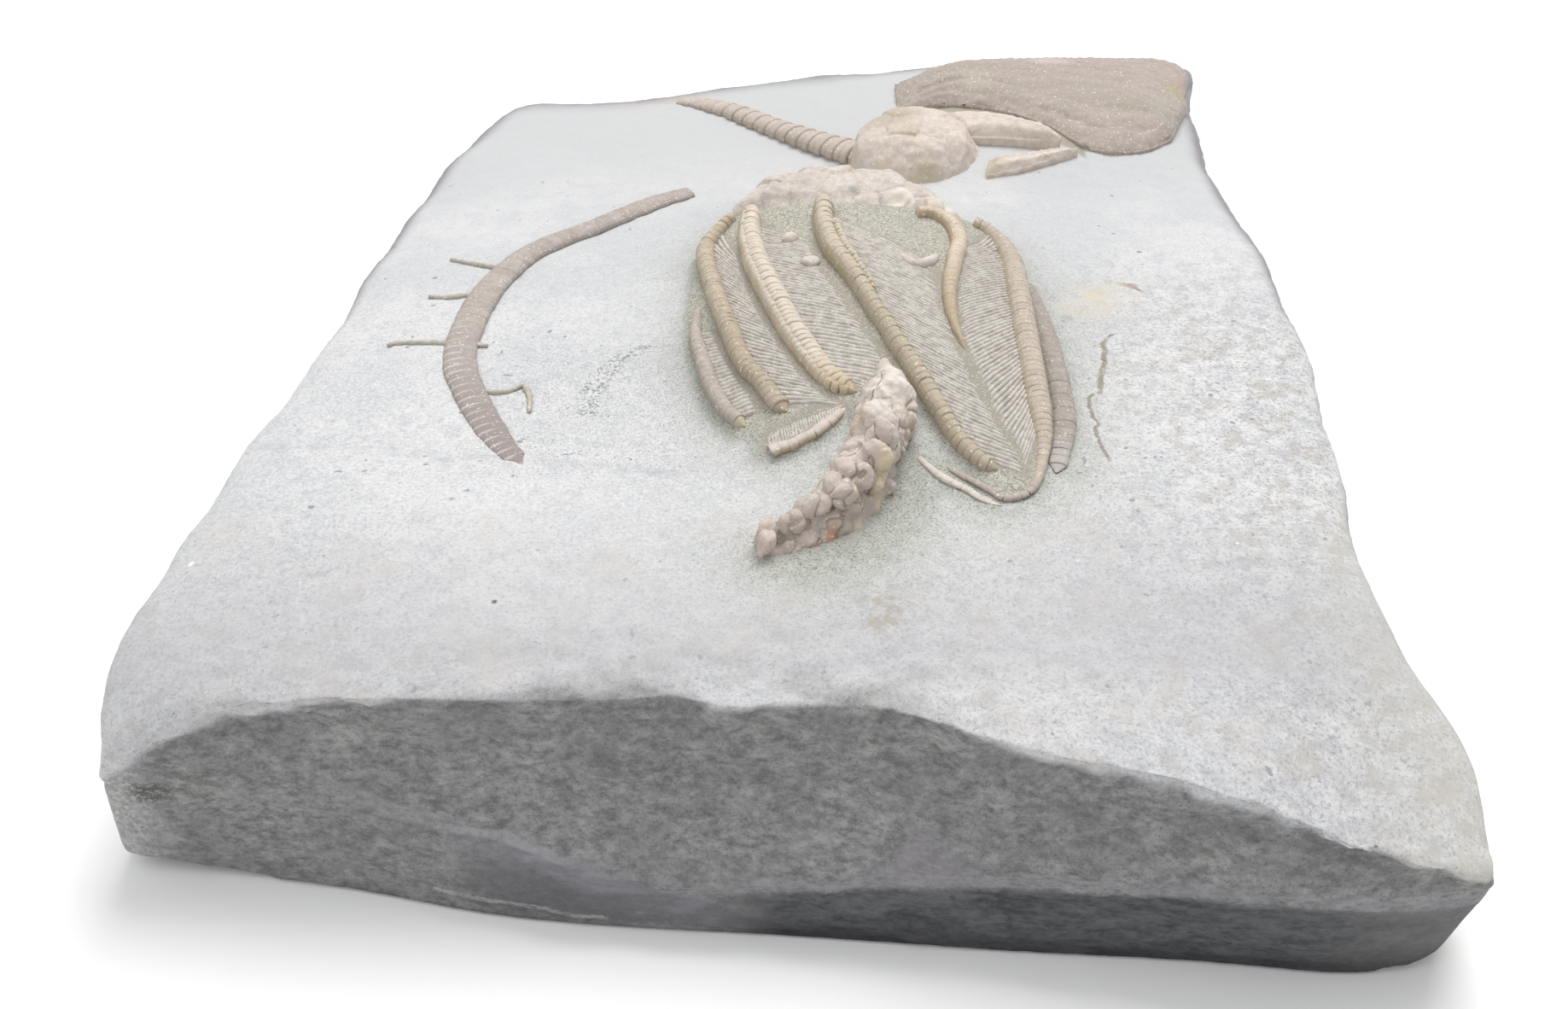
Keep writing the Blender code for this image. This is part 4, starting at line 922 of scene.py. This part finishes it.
arms = {
    "armFarLeft": {
        "node": "main_arm_1", "look": mauveLook, "pitch": 0.8, "soft": True,
        "route": [(-9.2, -3.2), (-9.2, -7.7), (-8.5, -11.6), (-7.5, -16.1), (-6.4, -19.4), (-5.3, -21.5),
                  (-4.3, -22.9)],
        "halfWidth": [0.4, 0.7, 0.8, 0.8, 0.6], "height": [0.6, 1.1, 1.2, 1.2, 1],
        "branches": {"far": [(-8, -5.5), (-7.2, -9.5), (-6.2, -13), (-5, -16.5), (-4, -19), (-3.2, -21.5)],
                     "span": (0.2, 0.94), "pitch": 0.62, "slant": 0.14, "bow": 0.08},
    },
    "armLeft": {
        "node": "main_arm_2", "look": tanLook, "pitch": 0.75, "soft": True,
        "route": [(-6.4, 13.6), (-8.1, 10.9), (-8.9, 8.6), (-8.6, 4.7), (-7.7, -0.8), (-6.8, -5.8),
                  (-5.9, -9.6), (-5, -13.5), (-4, -16.3), (-2.9, -18.3), (-2.2, -20), (-1.5, -21.4),
                  (-0.8, -22.4)],
        "halfWidth": [0.6, 0.95, 0.95, 0.95, 0.95, 0.9, 0.85, 0.9], "height": [1.2, 1.5, 1.5, 1.5, 1.4, 1],
        "branches": {"far": [(-5.6, 7.6), (-5.1, 2), (-4.2, -3), (-3, -8), (-1.8, -12), (-0.4, -15.8),
                             (1.2, -19), (3, -21.6), (4.4, -22.6)],
                     "span": (0.06, 0.98), "pitch": 0.8, "slant": 0.12, "bow": 0.05},
    },
    "armMiddleLeft": {
        "node": "main_arm_3", "look": creamLook, "pitch": 0.68, "ripple": 0.03,
        "columns": [{"offset": 0.1, "widthShare": 0.9, "turn": 5},
                    {"offset": -0.44, "widthShare": 0.56, "heightShare": 0.88, "turn": -9, "shift": 0.5}],
        "route": [(-4.4, 12.9), (-4.4, 8), (-3.7, 1.7), (-2.6, -3.4), (-1.4, -8.1), (-0.4, -11.6),
                  (0.8, -14.8), (1.9, -17.3), (2.9, -19.2), (3.9, -20.4), (5, -21)],
        "halfWidth": [1, 1.2, 1.2, 1.2, 1.15, 1], "height": [1.6, 1.8, 1.8, 1.7, 1.4, 1],
        "branches": {"far": [(2, 7), (2.3, 1), (3.4, -3.5), (4.8, -8), (6.2, -12), (7.4, -15.5),
                             (8.6, -18.6), (8.8, -20.6), (7.4, -22)],
                     "span": (0.06, 0.98), "pitch": 0.7, "slant": 0.08, "bow": 0.04},
    },
    "armMiddleRight": {
        "node": "main_arm_4", "look": fadedLook, "pitch": 0.72, "soft": True, "ripple": 0.025, "vary": 0.015,
        "columns": [{"offset": -0.1, "widthShare": 0.9, "turn": -5},
                    {"offset": 0.66, "widthShare": 0.52, "heightShare": 0.95, "turn": 9, "shift": 0.5,
                     "part": (0.08, 0.5)}],
        "route": [(3.1, 12.4), (3.2, 6.8), (3.9, 1.5), (4.9, -1.9), (6.1, -5.8), (7.2, -9.9), (8.3, -13.1),
                  (9.1, -15.6), (10.2, -18.4), (11.2, -21.2), (12.1, -23.6), (12.9, -25.7), (13.8, -27.6),
                  (14.8, -28.9), (15.7, -29.7), (16.4, -30.1)],
        "halfWidth": [1.15, 1.2, 1.15, 0.95, 0.9, 0.95, 0.95, 0.9, 0.7],
        "height": [2, 2, 1.8, 1.6, 1.5, 1.4, 0.9],
        "branches": {"far": [(12.6, 3.4), (13.5, -1), (13.8, -6), (14.2, -10.5), (14.7, -15), (15.5, -19.4),
                             (16.4, -22.6), (17.5, -25.6), (18.5, -28.2), (18.6, -30.4)],
                     "span": (0.03, 0.97), "pitch": 0.72, "slant": 0.1, "bow": 0.09},
    },
    "armInnerRight": {
        "node": "main_arm_5", "look": brownLook, "pitch": 0.8, "soft": True,
        "route": [(12.6, 12.4), (14.6, 12.6), (16.2, 10.4), (16.3, 6.4), (15.4, 1.4), (14.6, -3.4),
                  (14.2, -7.2), (14.3, -11.3), (14.9, -15.2)],
        "halfWidth": [0.6, 0.85, 0.85, 0.8, 0.72, 0.5, 0.2], "height": [1, 1.4, 1.4, 1.3, 1.1, 0.8, 0.5],
    },
    "armRight": {
        "node": "main_arm_6", "look": roseLook, "pitch": 0.7, "soft": True,
        "route": [(18.6, 14.2), (20, 13.6), (21.2, 11.6), (21.8, 8.6), (21.8, 4.8), (21.5, 0.2),
                  (21.3, -4.3), (21.1, -8.2), (21, -11.9), (20.9, -16), (20.9, -19.7), (20.9, -22.7),
                  (20.8, -25.4), (20.4, -27.8), (19.8, -30.2), (19, -31.9), (18, -32.7), (16.6, -32.9),
                  (15.5, -32), (14.3, -31), (13.3, -30.3), (12.3, -29.4)],
        "halfWidth": [0.7, 1.1, 1.15, 1.15, 1.15, 1.1, 1, 0.5, 0.32, 0.28],
        "height": [1, 1.5, 1.6, 1.6, 1.5, 1.4, 1.2, 0.6, 0.4, 0.3],
        "branches": {"far": [(17, 9.6), (16.2, 3.6), (15.1, -2.6), (14.5, -8.5), (14.8, -14.3),
                             (15.5, -18.8), (16.3, -22), (17.3, -25), (18.3, -27.6), (18.6, -29.8)],
                     "span": (0.04, 0.72), "side": -1, "pitch": 0.62, "slant": 0.1, "bow": 0.06},
    },
    "armFarRight": {
        "node": "main_arm_7", "look": shadedMauveLook, "pitch": 1, "soft": True,
        "route": [(23.3, 4), (23.4, -3.1), (23.45, -10.1), (23.35, -16.3), (23.1, -21.6), (22.2, -26),
                  (21.4, -29.2)],
        "halfWidth": [0.5, 0.9, 1.05, 1.1, 1.05, 0.7], "height": [0.5, 0.9, 1, 1, 0.8, 0.4],
    },
    "armTipInRock": {
        "node": "buried_arm_tip", "look": tipLook, "pitch": 0.9, "soft": True,
        "route": [(10.1, -28.6), (10.9, -29.6), (11.8, -30.6), (12.8, -31.3), (13.8, -31.9), (14.9, -32.9),
                  (16.4, -33.7)],
        "halfWidth": [0.25, 0.4, 0.35, 0.25], "height": [0.3, 0.45, 0.35, 0.2],
    },
    "armPieceLoose": {
        "node": "broken_arm", "look": paleLook, "pitch": 0.8, "soft": True, "vary": 0.06, "ripple": 0.03,
        "route": [(-2.1, -26.8), (-1.2, -26.5), (-0.3, -26.3), (0.5, -25.9), (1.4, -25.5), (2.1, -24.9),
                  (2.9, -24.3), (3.6, -23.6), (4.3, -22.9)],
        "halfWidth": [0.75, 0.6, 0.55, 0.6, 0.5, 0.35], "height": [0.7, 0.6, 0.5],
        "branches": {"far": [(-3, -24.7), (-1.4, -23.8), (0.6, -23.2), (2.6, -22.8), (4.2, -22.4)],
                     "span": (0, 1), "pitch": 0.27, "slant": 0.12, "bow": -0.05, "lift": -0.1},
    },
}
branchPlaces, armPlaces = [], []
for name, arm in arms.items():
    spots = []
    for column in arm.get("columns", [{}]):
        spots += ringSpots({**arm, **column})
    rings = strew(name, softDrum if arm.get("soft") else drum, spots)
    worn = 0.05 * roughness(corners(rings), 1.3, 3, 5)
    moveCorners(rings, corners(rings) + facing(rings) * worn[:, None])
    rings.data.materials.append(arm["look"])
    armPlaces += [spot[0].translation[:2] for spot in spots]
    parts = [rings]
    if "branches" in arm:
        lines = branchLines(arm, {**branch, **arm["branches"]})
        branchPlaces += [point[:2] for line in lines for point in line]
        parts.append(makeThreads(f"{name}.branches", lines))
        parts[1].data.materials.append(branchLook)
    settle(join(name, parts), arm["node"])


# Cups: the solid's own form, meshed evenly, with its plates domed and the joints between them cut in

def platedCore(node, name, form):
    core = copyOfNode(node, name)
    remesh(core, form["voxel"], form["smooth"])
    places = corners(core)
    if "reach" in form:  # its far side runs on under the arms
        start, more = form["reach"]
        places[:, 1] += more * np.clip(places[:, 1] - start, 0, None)
        moveCorners(core, places)
    normals = facing(core)
    count, tree = len(form["plates"]), treeOf(form["plates"])
    rng = np.random.default_rng(form["seed"])
    step, tone = rng.uniform(-1, 1, count), rng.uniform(0, 1, count)
    wobble, grain = roughness(places, 2.2, 3, 4), roughness(places, 0.7, 3, 8)
    push, seams, tones = np.zeros((3, len(places)))
    for index, place in enumerate(places):
        spot = (place[0] + 0.35 * wobble[index], place[1] - 0.3 * wobble[index], 0)
        (_, first, near), (_, _, next_) = tree.find_n(spot, 2)
        seams[index] = ease(next_ - near, form["groove"], 0)
        level = step[first] * ease(next_ - near, 0, form["groove"] * 1.4)
        sag = form["dome"] * (near / form["size"]) ** 2
        push[index] = form["step"] * level - form["cut"] * seams[index] - sag
        tones[index] = tone[first]
    push += form["grain"] * (grain - 0.5)
    push *= ease(normals[:, 2], -0.5, 0.2)
    places = places + normals * push[:, None]
    edgeY = np.interp(places[:, 0], *zip(*form["nearEdge"])) + 0.8 * roughness(places, 1.8, 2, 6)
    lean = (1 - ease(places[:, 1] - edgeY, -0.6, form["slope"])) * ease(normals[:, 2], -0.6, 0)
    places[:, 2] -= form["drop"] * lean + form["low"] * ease(normals[:, 2], -0.2, 0.5)
    sink(places, normals)
    moveCorners(core, places)
    # across tells how far the surface faces left, for painted shade on that side
    paint(core, seam=seams, tone=tones, across=-normals[:, 0])
    core.data.shade_smooth()
    return core


mainCup = {
    "voxel": 0.17, "smooth": 3, "seed": 5, "groove": 0.5, "cut": 0.17, "step": 0.26, "dome": 0.2,
    "size": 2.4, "grain": 0.07, "slope": 2.4, "drop": 0.9, "low": 0,
    "nearEdge": [(-9, 13.6), (-6.8, 14.5), (0, 15), (10, 14), (17, 12.8), (21, 10)],
    "plates": [(-2.4, 20.6), (3, 23.4), (10.4, 22), (-4.9, 17.2), (1.2, 18.6), (9.8, 18.4), (13.8, 16.9),
               (-6.4, 14.9), (-4.4, 14.6), (-1.6, 15.6), (1, 15), (4.6, 16.4), (7.4, 15), (10.2, 15.2),
               (12.2, 13.6), (14.6, 13.6), (16.4, 12.9), (17.8, 14.2)],
}
settle(platedCore("main_cup", "cupPlates", mainCup), "main_cup", plateLook)

farCup = {
    "voxel": 0.17, "smooth": 3, "seed": 11, "groove": 0.6, "cut": 0.12, "step": 0.12, "dome": 0.2,
    "size": 2.6, "grain": 0.06, "slope": 3, "drop": 0.8, "low": 0.5, "reach": (36, 0.45),
    "nearEdge": [(6, 33.5), (9, 31), (14, 29.4), (19, 31), (22, 34)],
    "plates": [(8.6, 34.6), (11.6, 31.6), (15.4, 31), (18.8, 33.4), (9.4, 38.6), (12.6, 35.6), (16.4, 35.2),
               (19.6, 37.2), (12.4, 39.6), (16.2, 39.4), (14.2, 42)],
}
settle(platedCore("second_cup", "farCupPlates", farCup), "second_cup", secondLook)


# The anal tube: knobbly plates, x, y, z and half size in mm, melted on to a slimmer core

analTube = {
    "voxel": 0.13, "core": 0.3, "flank": 1.1, "foot": 0.45, "grow": 1.42, "thick": 0.85, "stand": 0.3,
    "coreVoxel": 0.25, "grain": 0.1, "lumps": 0.14, "cut": 0.07, "shareSpan": (-24, 17),
    "spine": [(8.6, -21), (8.2, -26), (7.3, -30), (6, -33.4), (4.2, -36.2), (2, -38.2), (-0.4, -39.3),
              (-2.6, -40.1)],
    "hidden": [(9.8, -25.4, 23.4, 0.9), (10, -27, 22.8, 0.8), (9.7, -29.6, 23.4, 0.9),
               (9.2, -30.8, 22.6, 0.8), (6.6, -24.6, 24.4, 0.9), (5.6, -25.8, 23.4, 0.9), (5, -27, 23, 0.8),
               (8.6, -34.6, 22.8, 0.8), (6.2, -23, 23.6, 0.8), (9.2, -23.4, 23.4, 0.8),
               (3.4, -28.8, 22.6, 0.7), (1.6, -34.2, 22, 0.7), (0.4, -36.2, 21.4, 0.7),
               (-1.2, -37.4, 20.8, 0.6), (9.4, -31.6, 21.8, 0.7), (10.2, -29, 21.8, 0.8),
               (10.6, -26.5, 21.9, 0.8)],
    "plates": [(8.3, -25.5, 25.2, 1.12), (7.2, -28.2, 25.4, 1.24), (5.2, -28.5, 24.6, 0.9),
               (9.3, -27.7, 24.2, 0.83), (7.9, -31.4, 25.2, 0.95), (5.9, -31.5, 25.2, 0.88),
               (3.8, -30.2, 23.8, 0.89), (6.7, -34.2, 25, 1), (8.4, -32.6, 23.8, 0.61),
               (4.4, -34, 24.6, 0.87), (2.8, -32.6, 23.2, 0.81), (4.4, -36.4, 24.4, 0.85),
               (6.8, -36.1, 24.4, 0.86), (2.6, -35.3, 23.2, 0.86), (5.4, -37.3, 24, 0.78),
               (6.9, -36, 22.8, 0.6), (5.2, -37.9, 23.4, 0.78), (3.1, -37.9, 23.4, 0.85),
               (1.5, -37.4, 22.4, 0.79), (4.3, -39.1, 22.6, 0.78), (2.5, -39.4, 22.6, 0.78),
               (0.6, -37.9, 21.8, 0.72), (3.1, -39.2, 21.4, 0.65), (1.8, -40.4, 21.4, 0.65),
               (1, -40, 22, 0.71), (-0.6, -38.1, 21.3, 0.72), (0.3, -41.3, 20.4, 0.5),
               (-0.3, -40.3, 21.3, 0.66), (-1.9, -39.2, 21.2, 0.66), (-2.5, -40.4, 20.8, 0.62),
               (-1.3, -39.9, 20.9, 0.75), (8, -22.6, 24.4, 0.9), (7.6, -20.2, 23.4, 0.8),
               (3.6, -39.8, 21.8, 0.55), (4.9, -38.7, 22.2, 0.6), (6.2, -37.3, 22.4, 0.62),
               (7.4, -35.6, 22.8, 0.62), (8.4, -33.8, 23.2, 0.62), (9.1, -31, 23.4, 0.6),
               (1.9, -40.7, 21, 0.5), (5.9, -38.4, 21.6, 0.58), (7.4, -36.6, 21.8, 0.6),
               (8.6, -34.8, 22, 0.6), (3.9, -40.2, 20.8, 0.52), (-1.4, -41, 20.4, 0.55),
               (0.8, -41.6, 20.2, 0.45), (2.7, -41.4, 20.2, 0.5), (4.5, -40.6, 20.3, 0.52),
               (6.2, -39.6, 20.4, 0.54), (7.6, -38.2, 20.5, 0.56), (8.8, -36.4, 20.7, 0.58),
               (9.7, -34.2, 21, 0.58), (10.2, -31.8, 21.4, 0.6), (10.3, -29.8, 21.8, 0.6),
               (9.8, -30.6, 22.6, 0.6), (9.6, -33, 22.2, 0.6)],  # those that the photo shows
}


def tubeCore():  # the solid made slimmer, with its foot, which spreads out on the near side, drawn in
    core = copyOfNode("anal_tube", "analTubePlates")
    remesh(core, analTube["coreVoxel"], 4)
    places, normals = corners(core), facing(core)
    nearFlank = ease(-normals[:, 1], 0, 0.7) * ease(places[:, 1], -29, -35)
    slim = (analTube["core"] + analTube["flank"] * nearFlank) * ease(normals[:, 2], -0.4, 0.3)
    places = places - normals * slim[:, None]
    spine = np.array(analTube["spine"])
    steps = np.linspace(0, len(spine) - 1, 90)
    spine = np.stack([np.interp(steps, np.arange(len(spine)), spine[:, axis]) for axis in (0, 1)], axis=1)
    away = places[:, None, :2] - spine[None]
    out = away[np.arange(len(places)), np.argmin((away ** 2).sum(axis=2), axis=1)]
    foot = ease(places[:, 2], 23.4, 20.8) * ease(0.5 * out[:, 0] - 0.85 * out[:, 1], 0, 0.8)
    places[:, :2] -= out * (analTube["foot"] * foot)[:, None]
    sink(places, normals)
    moveCorners(core, places)
    return core


def makeTube():
    core = tubeCore()
    surface = surfaceOf(core)
    plates = analTube["plates"] + analTube["hidden"]
    knobs, centres = [], []
    for x, y, z, size in plates:
        place, normal, _, _ = surface.find_nearest(toFrame((x, y, z)))
        wide, thick = size * analTube["grow"], size * analTube["thick"]
        sunk = place + normal * mm * (analTube["stand"] * size - thick)
        centres.append((*toPlate(sunk), *normal, wide, thick))
        bpy.ops.mesh.primitive_ico_sphere_add(subdivisions=4, radius=mm, location=sunk)
        knob = bpy.context.object
        knob.scale = (wide, wide, thick)
        knob.rotation_euler = normal.to_track_quat("Z", "Y").to_euler()
        bpy.ops.object.transform_apply()
        knobs.append(knob)
    tube = join("analTubePlates", [core] + knobs)
    remesh(tube, analTube["voxel"], 1)
    places, normals = corners(tube), facing(tube)
    tone = np.random.default_rng(3).uniform(0, 1, len(plates))
    ball = np.array(centres)[None]  # where two plates meet, the place is as deep in one as in the other
    away = places[:, None, :] - ball[:, :, :3]
    along = (away * ball[:, :, 3:6]).sum(axis=2)
    beside = (away ** 2).sum(axis=2) - along ** 2
    depth = beside / ball[:, :, 6] ** 2 + along ** 2 / ball[:, :, 7] ** 2
    order = np.argsort(depth, axis=1)
    first, second = np.take_along_axis(depth, order[:, :2], axis=1).T
    seams = ease(second - first, 0.5, 0)
    grain, lumps = roughness(places, 0.6, 3, 2), roughness(places, 1.3, 2, 6)
    push = analTube["grain"] * (grain - 0.5) + analTube["lumps"] * lumps - analTube["cut"] * seams
    moveCorners(tube, places + normals * push[:, None])
    start, length = analTube["shareSpan"]
    share = np.clip((start - places[:, 1]) / length, 0, 1)
    paint(tube, seam=seams, tone=tone[order[:, 0]], across=-normals[:, 0], share=share)
    tube.data.shade_smooth()
    return tube


settle(makeTube(), "anal_tube", tubeLook)


# Loose plates of the crown

chips = {
    "chipUpper": {"node": "plate_chip_1", "place": (-0.4, 5.8), "lift": 0.3, "turn": 20,
                  "size": (0.85, 0.8, 0.45)},
    "chipLower": {"node": "plate_chip_2", "place": (1.5, -0.2), "lift": 0.25, "turn": -15,
                  "size": (0.95, 0.8, 0.45)},
}
chipGrain = 0.14
for name, chip in chips.items():
    x, y = chip["place"]
    bpy.ops.mesh.primitive_uv_sphere_add(
        segments=18, ring_count=9, radius=1, location=toFrame((x, y, calmTop(x, y) + chip["lift"])),
        rotation=(0, 0, math.radians(chip["turn"])))
    flake = bpy.context.object
    flake.name = name
    flake.scale = [size * mm for size in chip["size"]]
    bpy.ops.object.transform_apply()
    places, normals = corners(flake), facing(flake)
    bumps = chipGrain * roughness(places, 0.7, 2, x)
    moveCorners(flake, places + normals * bumps[:, None])
    flake.data.shade_smooth()
    settle(flake, chip["node"], plateLook)


crescent = [(10.2, 1.4, 0.25), (10.6, 0.2, 0.42), (11.3, -0.6, 0.5), (12, -0.6, 0.62), (12.8, 0.1, 0.66),
            (13.4, 1.1, 0.5), (13.8, 2.4, 0.2)]
rim = makeThreads("chipCrescent", [[(x, y, calmTop(x, y) + 0.05, radius) for x, y, radius in crescent]])
settle(rim, "plate_chip_3", plateLook)


# Stems: rings along the route, and the side shoots of the loose one

farStem = {
    "route": [(-14, 55), (-11.9, 54), (-9.2, 52.2), (-6.4, 49.8), (-3.6, 46.9), (-0.9, 44.2), (1.8, 41.4),
              (4.4, 39), (6.8, 37), (9, 35.6)],
    "halfWidth": [1.1, 1.45, 1.6, 1.65, 1.8, 2.1, 2.4], "height": [0.5, 1.1, 1.3, 1.5, 1.7], "pitch": 0.95,
    "ripple": 0.12, "stand": 0, "blunt": 0.6,
}
settle(strew("farStem", drum, ringSpots(farStem)), "second_stem", farStemLook)

looseStem = {
    "route": [(-11.5, 26.8), (-14.7, 24.3), (-18.6, 20.6), (-21.7, 17.6), (-24.6, 15), (-27, 12.1),
              (-28.7, 8.8), (-30.1, 4.9), (-30.9, 0.6), (-31.2, -3.8), (-31.2, -7.7), (-30.5, -11.7),
              (-29.2, -15.3), (-27.7, -18.9), (-26.1, -22.3), (-24.5, -25.3), (-22.8, -27.8)],
    "halfWidth": [1.15, 1.3, 1.3, 1.35, 1.5, 1.6, 1.6, 1.55, 1.45, 1.35, 0.8],
    "height": [0.6, 0.8, 0.9, 0.9, 0.9, 0.85, 0.7, 0.5, 0.15], "pitch": 1.2, "ripple": 0.02, "stand": 0,
    "shoots": [
        [(-29, 8.8), (-31.5, 9.4), (-33.2, 9.9), (-35.2, 10.6)],
        [(-30.6, 3.4), (-32.7, 3), (-34.4, 2.6), (-36, 2.6)],
        [(-31.2, -6.3), (-33.6, -6.4), (-35.8, -6.5), (-37.6, -6.7), (-38, -7.2)],
        [(-29.4, -15), (-27.2, -15.5), (-25.8, -15.2), (-24.6, -14)],
        [(-24.3, -14.2), (-23.7, -16), (-23.4, -18.6)],
        [(-30.2, -6.6), (-28.8, -6.8)],
    ],
    "shootRadius": 0.32,
}


def shootLine(points, radius, pitch=0.35, lift=0.12, taper=0.35):
    route = Route(points)
    count = round(route.length / pitch)
    line = []
    for step in range(count + 1):
        share = step / count
        x, y = route.spot(share)
        joint = 1.1 if step % 3 else 0.88  # a bead at each joint
        line.append((x, y, calmTop(x, y) + lift, radius * (1 - taper * share) * joint))
    return line


stemRings = strew("looseStem", softDrum, ringSpots(looseStem))
shootLines = [shootLine(points, looseStem["shootRadius"]) for points in looseStem["shoots"]]
shoots = makeThreads("looseStem.shoots", shootLines)
stemRings.data.materials.append(stemLook)
shoots.data.materials.append(shootLook)
settle(join("looseStem", [stemRings, shoots]), "loose_stem")


# The arms of the second crown: pressed bundles between a near and a far line, ridged along their length

bundleBase = {
    "low": 0, "slope": 0, "reach": 0, "out": [], "look": secondLook,
    "warp": 0.05, "joint": 0.035, "jointPitch": 1.1, "grain": 0.1,
}
bundles = {
    "farArmsUpper": {
        "node": "second_arms_upper", "ridges": 8, "depth": 0.34, "voxel": 0.3, "smooth": 12,
        "out": [((48, 62), 5, (2, 0.6))], "slope": 0.9, "look": farArmLook,
        "near": [(12.6, 47.4), (18.6, 48.8), (24, 47.4), (29.5, 42.8), (34, 35.6), (40, 35.6), (44.5, 39.6)],
        "far": [(12.8, 57), (19, 61.6), (26, 64.4), (33, 66.2), (41, 67.4), (48.4, 65.6), (48.6, 50.5)],
    },
    "farArmsMiddle": {
        "node": "second_arms_middle", "ridges": 2, "depth": 0.25, "voxel": 0.2, "smooth": 24, "low": 0.5,
        "reach": 2.4,
        "near": [(22.2, 37.6), (25, 36.9), (28, 36.2), (30.6, 35.6)],
        "far": [(19.6, 44.2), (23.4, 43.4), (26.9, 41), (30.9, 36.5)],
    },
    "farArmsLower": {
        "node": "second_arms_lower", "ridges": 1, "depth": 0.12, "voxel": 0.16, "smooth": 10, "low": 0.3,
        "near": [(21.6, 29.9), (24.6, 30.5), (28, 31.8), (32.6, 34.4)],
        "far": [(22.2, 33), (25.4, 33.7), (28.6, 34.3), (32.4, 34.9)],
    },
}


def alongAndAcross(places, bundle):  # shares of the way along the arms and from the near to the far line
    near, far = Route(bundle["near"]), Route(bundle["far"])
    rows, columns, spots = 100, 60, []
    for row in range(rows + 1):
        (x0, y0), (x1, y1) = near.spot(row / rows), far.spot(row / rows)
        for step in range(-2, columns + 3):
            x, y = x0 + (x1 - x0) * step / columns, y0 + (y1 - y0) * step / columns
            spots.append((x, y, row / rows, step / columns))
    tree = treeOf([spot[:2] for spot in spots])
    found = []
    for x, y, z in places:
        hits = tree.find_n((x, y, 0), 3)
        weights = [1 / (hit[2] + 0.02) for hit in hits]
        parts = [sum(spots[hit[1]][part] * w for hit, w in zip(hits, weights)) for part in (2, 3)]
        found.append([part / sum(weights) for part in parts])
    return (*np.array(found).T, near.length + far.length)


def pressedArms(name, bundle):
    piece = copyOfNode(bundle["node"], name)
    remesh(piece, bundle["voxel"], bundle["smooth"])
    places, normals = corners(piece), facing(piece)
    share, across, length = alongAndAcross(places, bundle)
    warp = bundle["warp"] * roughness(places, (9, 4, 4), 3, 2)
    turns = (across + warp) * bundle["ridges"]
    ridge = 1 - np.abs(2 * (turns % 1) - 1) ** 2
    joints = np.cos(share * length * 0.5 * 2 * math.pi / bundle["jointPitch"] + 2 * np.floor(turns))
    up = ease(normals[:, 2], -0.2, 0.5)
    push = bundle["depth"] * (ridge - 0.8) * ease(roughness(places, 6, 2, 5), -0.5, 0.3)
    push += bundle["joint"] * joints + bundle["grain"] * (roughness(places, 1, 3, 7) - 0.5)
    places = places + normals * (push * up)[:, None]
    sink(places, normals)
    places[:, 2] -= bundle["low"] * up
    places[:, 2] -= bundle["slope"] * np.maximum(ease(across, 0.3, 0), ease(share, 0.22, 0)) * up
    places[:, 0] -= bundle["reach"] * ease(share, 0.35, 0)  # its end runs on to the cup
    drawOut(places, bundle["out"])
    moveCorners(piece, places)
    tone = np.sin(np.floor(turns) * 12.9898) * 0.5 + 0.5  # any number for each arm
    paint(piece, seam=1 - 0.75 * ridge, tone=tone)
    piece.data.shade_smooth()
    return piece


for name, bundle in bundles.items():
    bundle = {**bundleBase, **bundle}
    settle(pressedArms(name, bundle), bundle["node"], bundle["look"])
bpy.data.objects.remove(drum)
bpy.data.objects.remove(softDrum)


# The rock's colours follow what lies on it

places = corners(rock)
onTop = ease(facing(rock)[:, 2], 0.3, 0.7)
cupSpots = [plate[:2] for plate in mainCup["plates"] + analTube["plates"]]
# painted shade and darker stone around the fossils, and painted shade in the gaps between the side branches
halo = np.exp(-nearness(armPlaces + cupSpots + branchPlaces, places) / block["haloReach"])
paint(rock, halo=halo * onTop, groove=ease(nearness(branchPlaces, places), 0.9, 0.35) * onTop)
settle(rock, "matrix_slab", rockLook)


# Floor and light

bpy.ops.mesh.primitive_plane_add(size=3, location=(0, 0, -0.2 * mm))
floor = bpy.context.object
floor.name = "floor"
bpy.ops.object.transform_apply()
floorLook = bpy.data.materials.new("floor")
floorLook.use_nodes = True
floorShader = floorLook.node_tree.nodes["Principled BSDF"]
floorShader.inputs["Base Color"].default_value = (0.96, 0.96, 0.96, 1)
floorShader.inputs["Roughness"].default_value = 0.8
floor.data.materials.append(floorLook)

studio = {
    "window": {"at": (0.35, 0.8, 1.6), "size": 1.1, "power": 25.5, "colour": (1, 0.99, 0.98)},
    "fill": {"at": (-0.6, -0.5, 1.3), "size": 1.4, "power": 6.4, "colour": (0.98, 0.99, 1)},
}
for name, light in studio.items():
    lamp = bpy.data.lights.new(name, "AREA")
    lamp.size, lamp.energy, lamp.color = light["size"], light["power"], light["colour"]
    holder = newObject(name, lamp)
    holder.location = light["at"]
    holder.rotation_euler = (-Vector(light["at"])).to_track_quat("-Z", "Y").to_euler()
world = bpy.data.worlds.new("room")
world.use_nodes = True
sky = world.node_tree.nodes["Background"]
sky.inputs["Color"].default_value = (1, 1, 1, 1)
sky.inputs["Strength"].default_value = 0.51
bpy.context.scene.world = world
bpy.context.scene.view_settings.view_transform = "Standard"
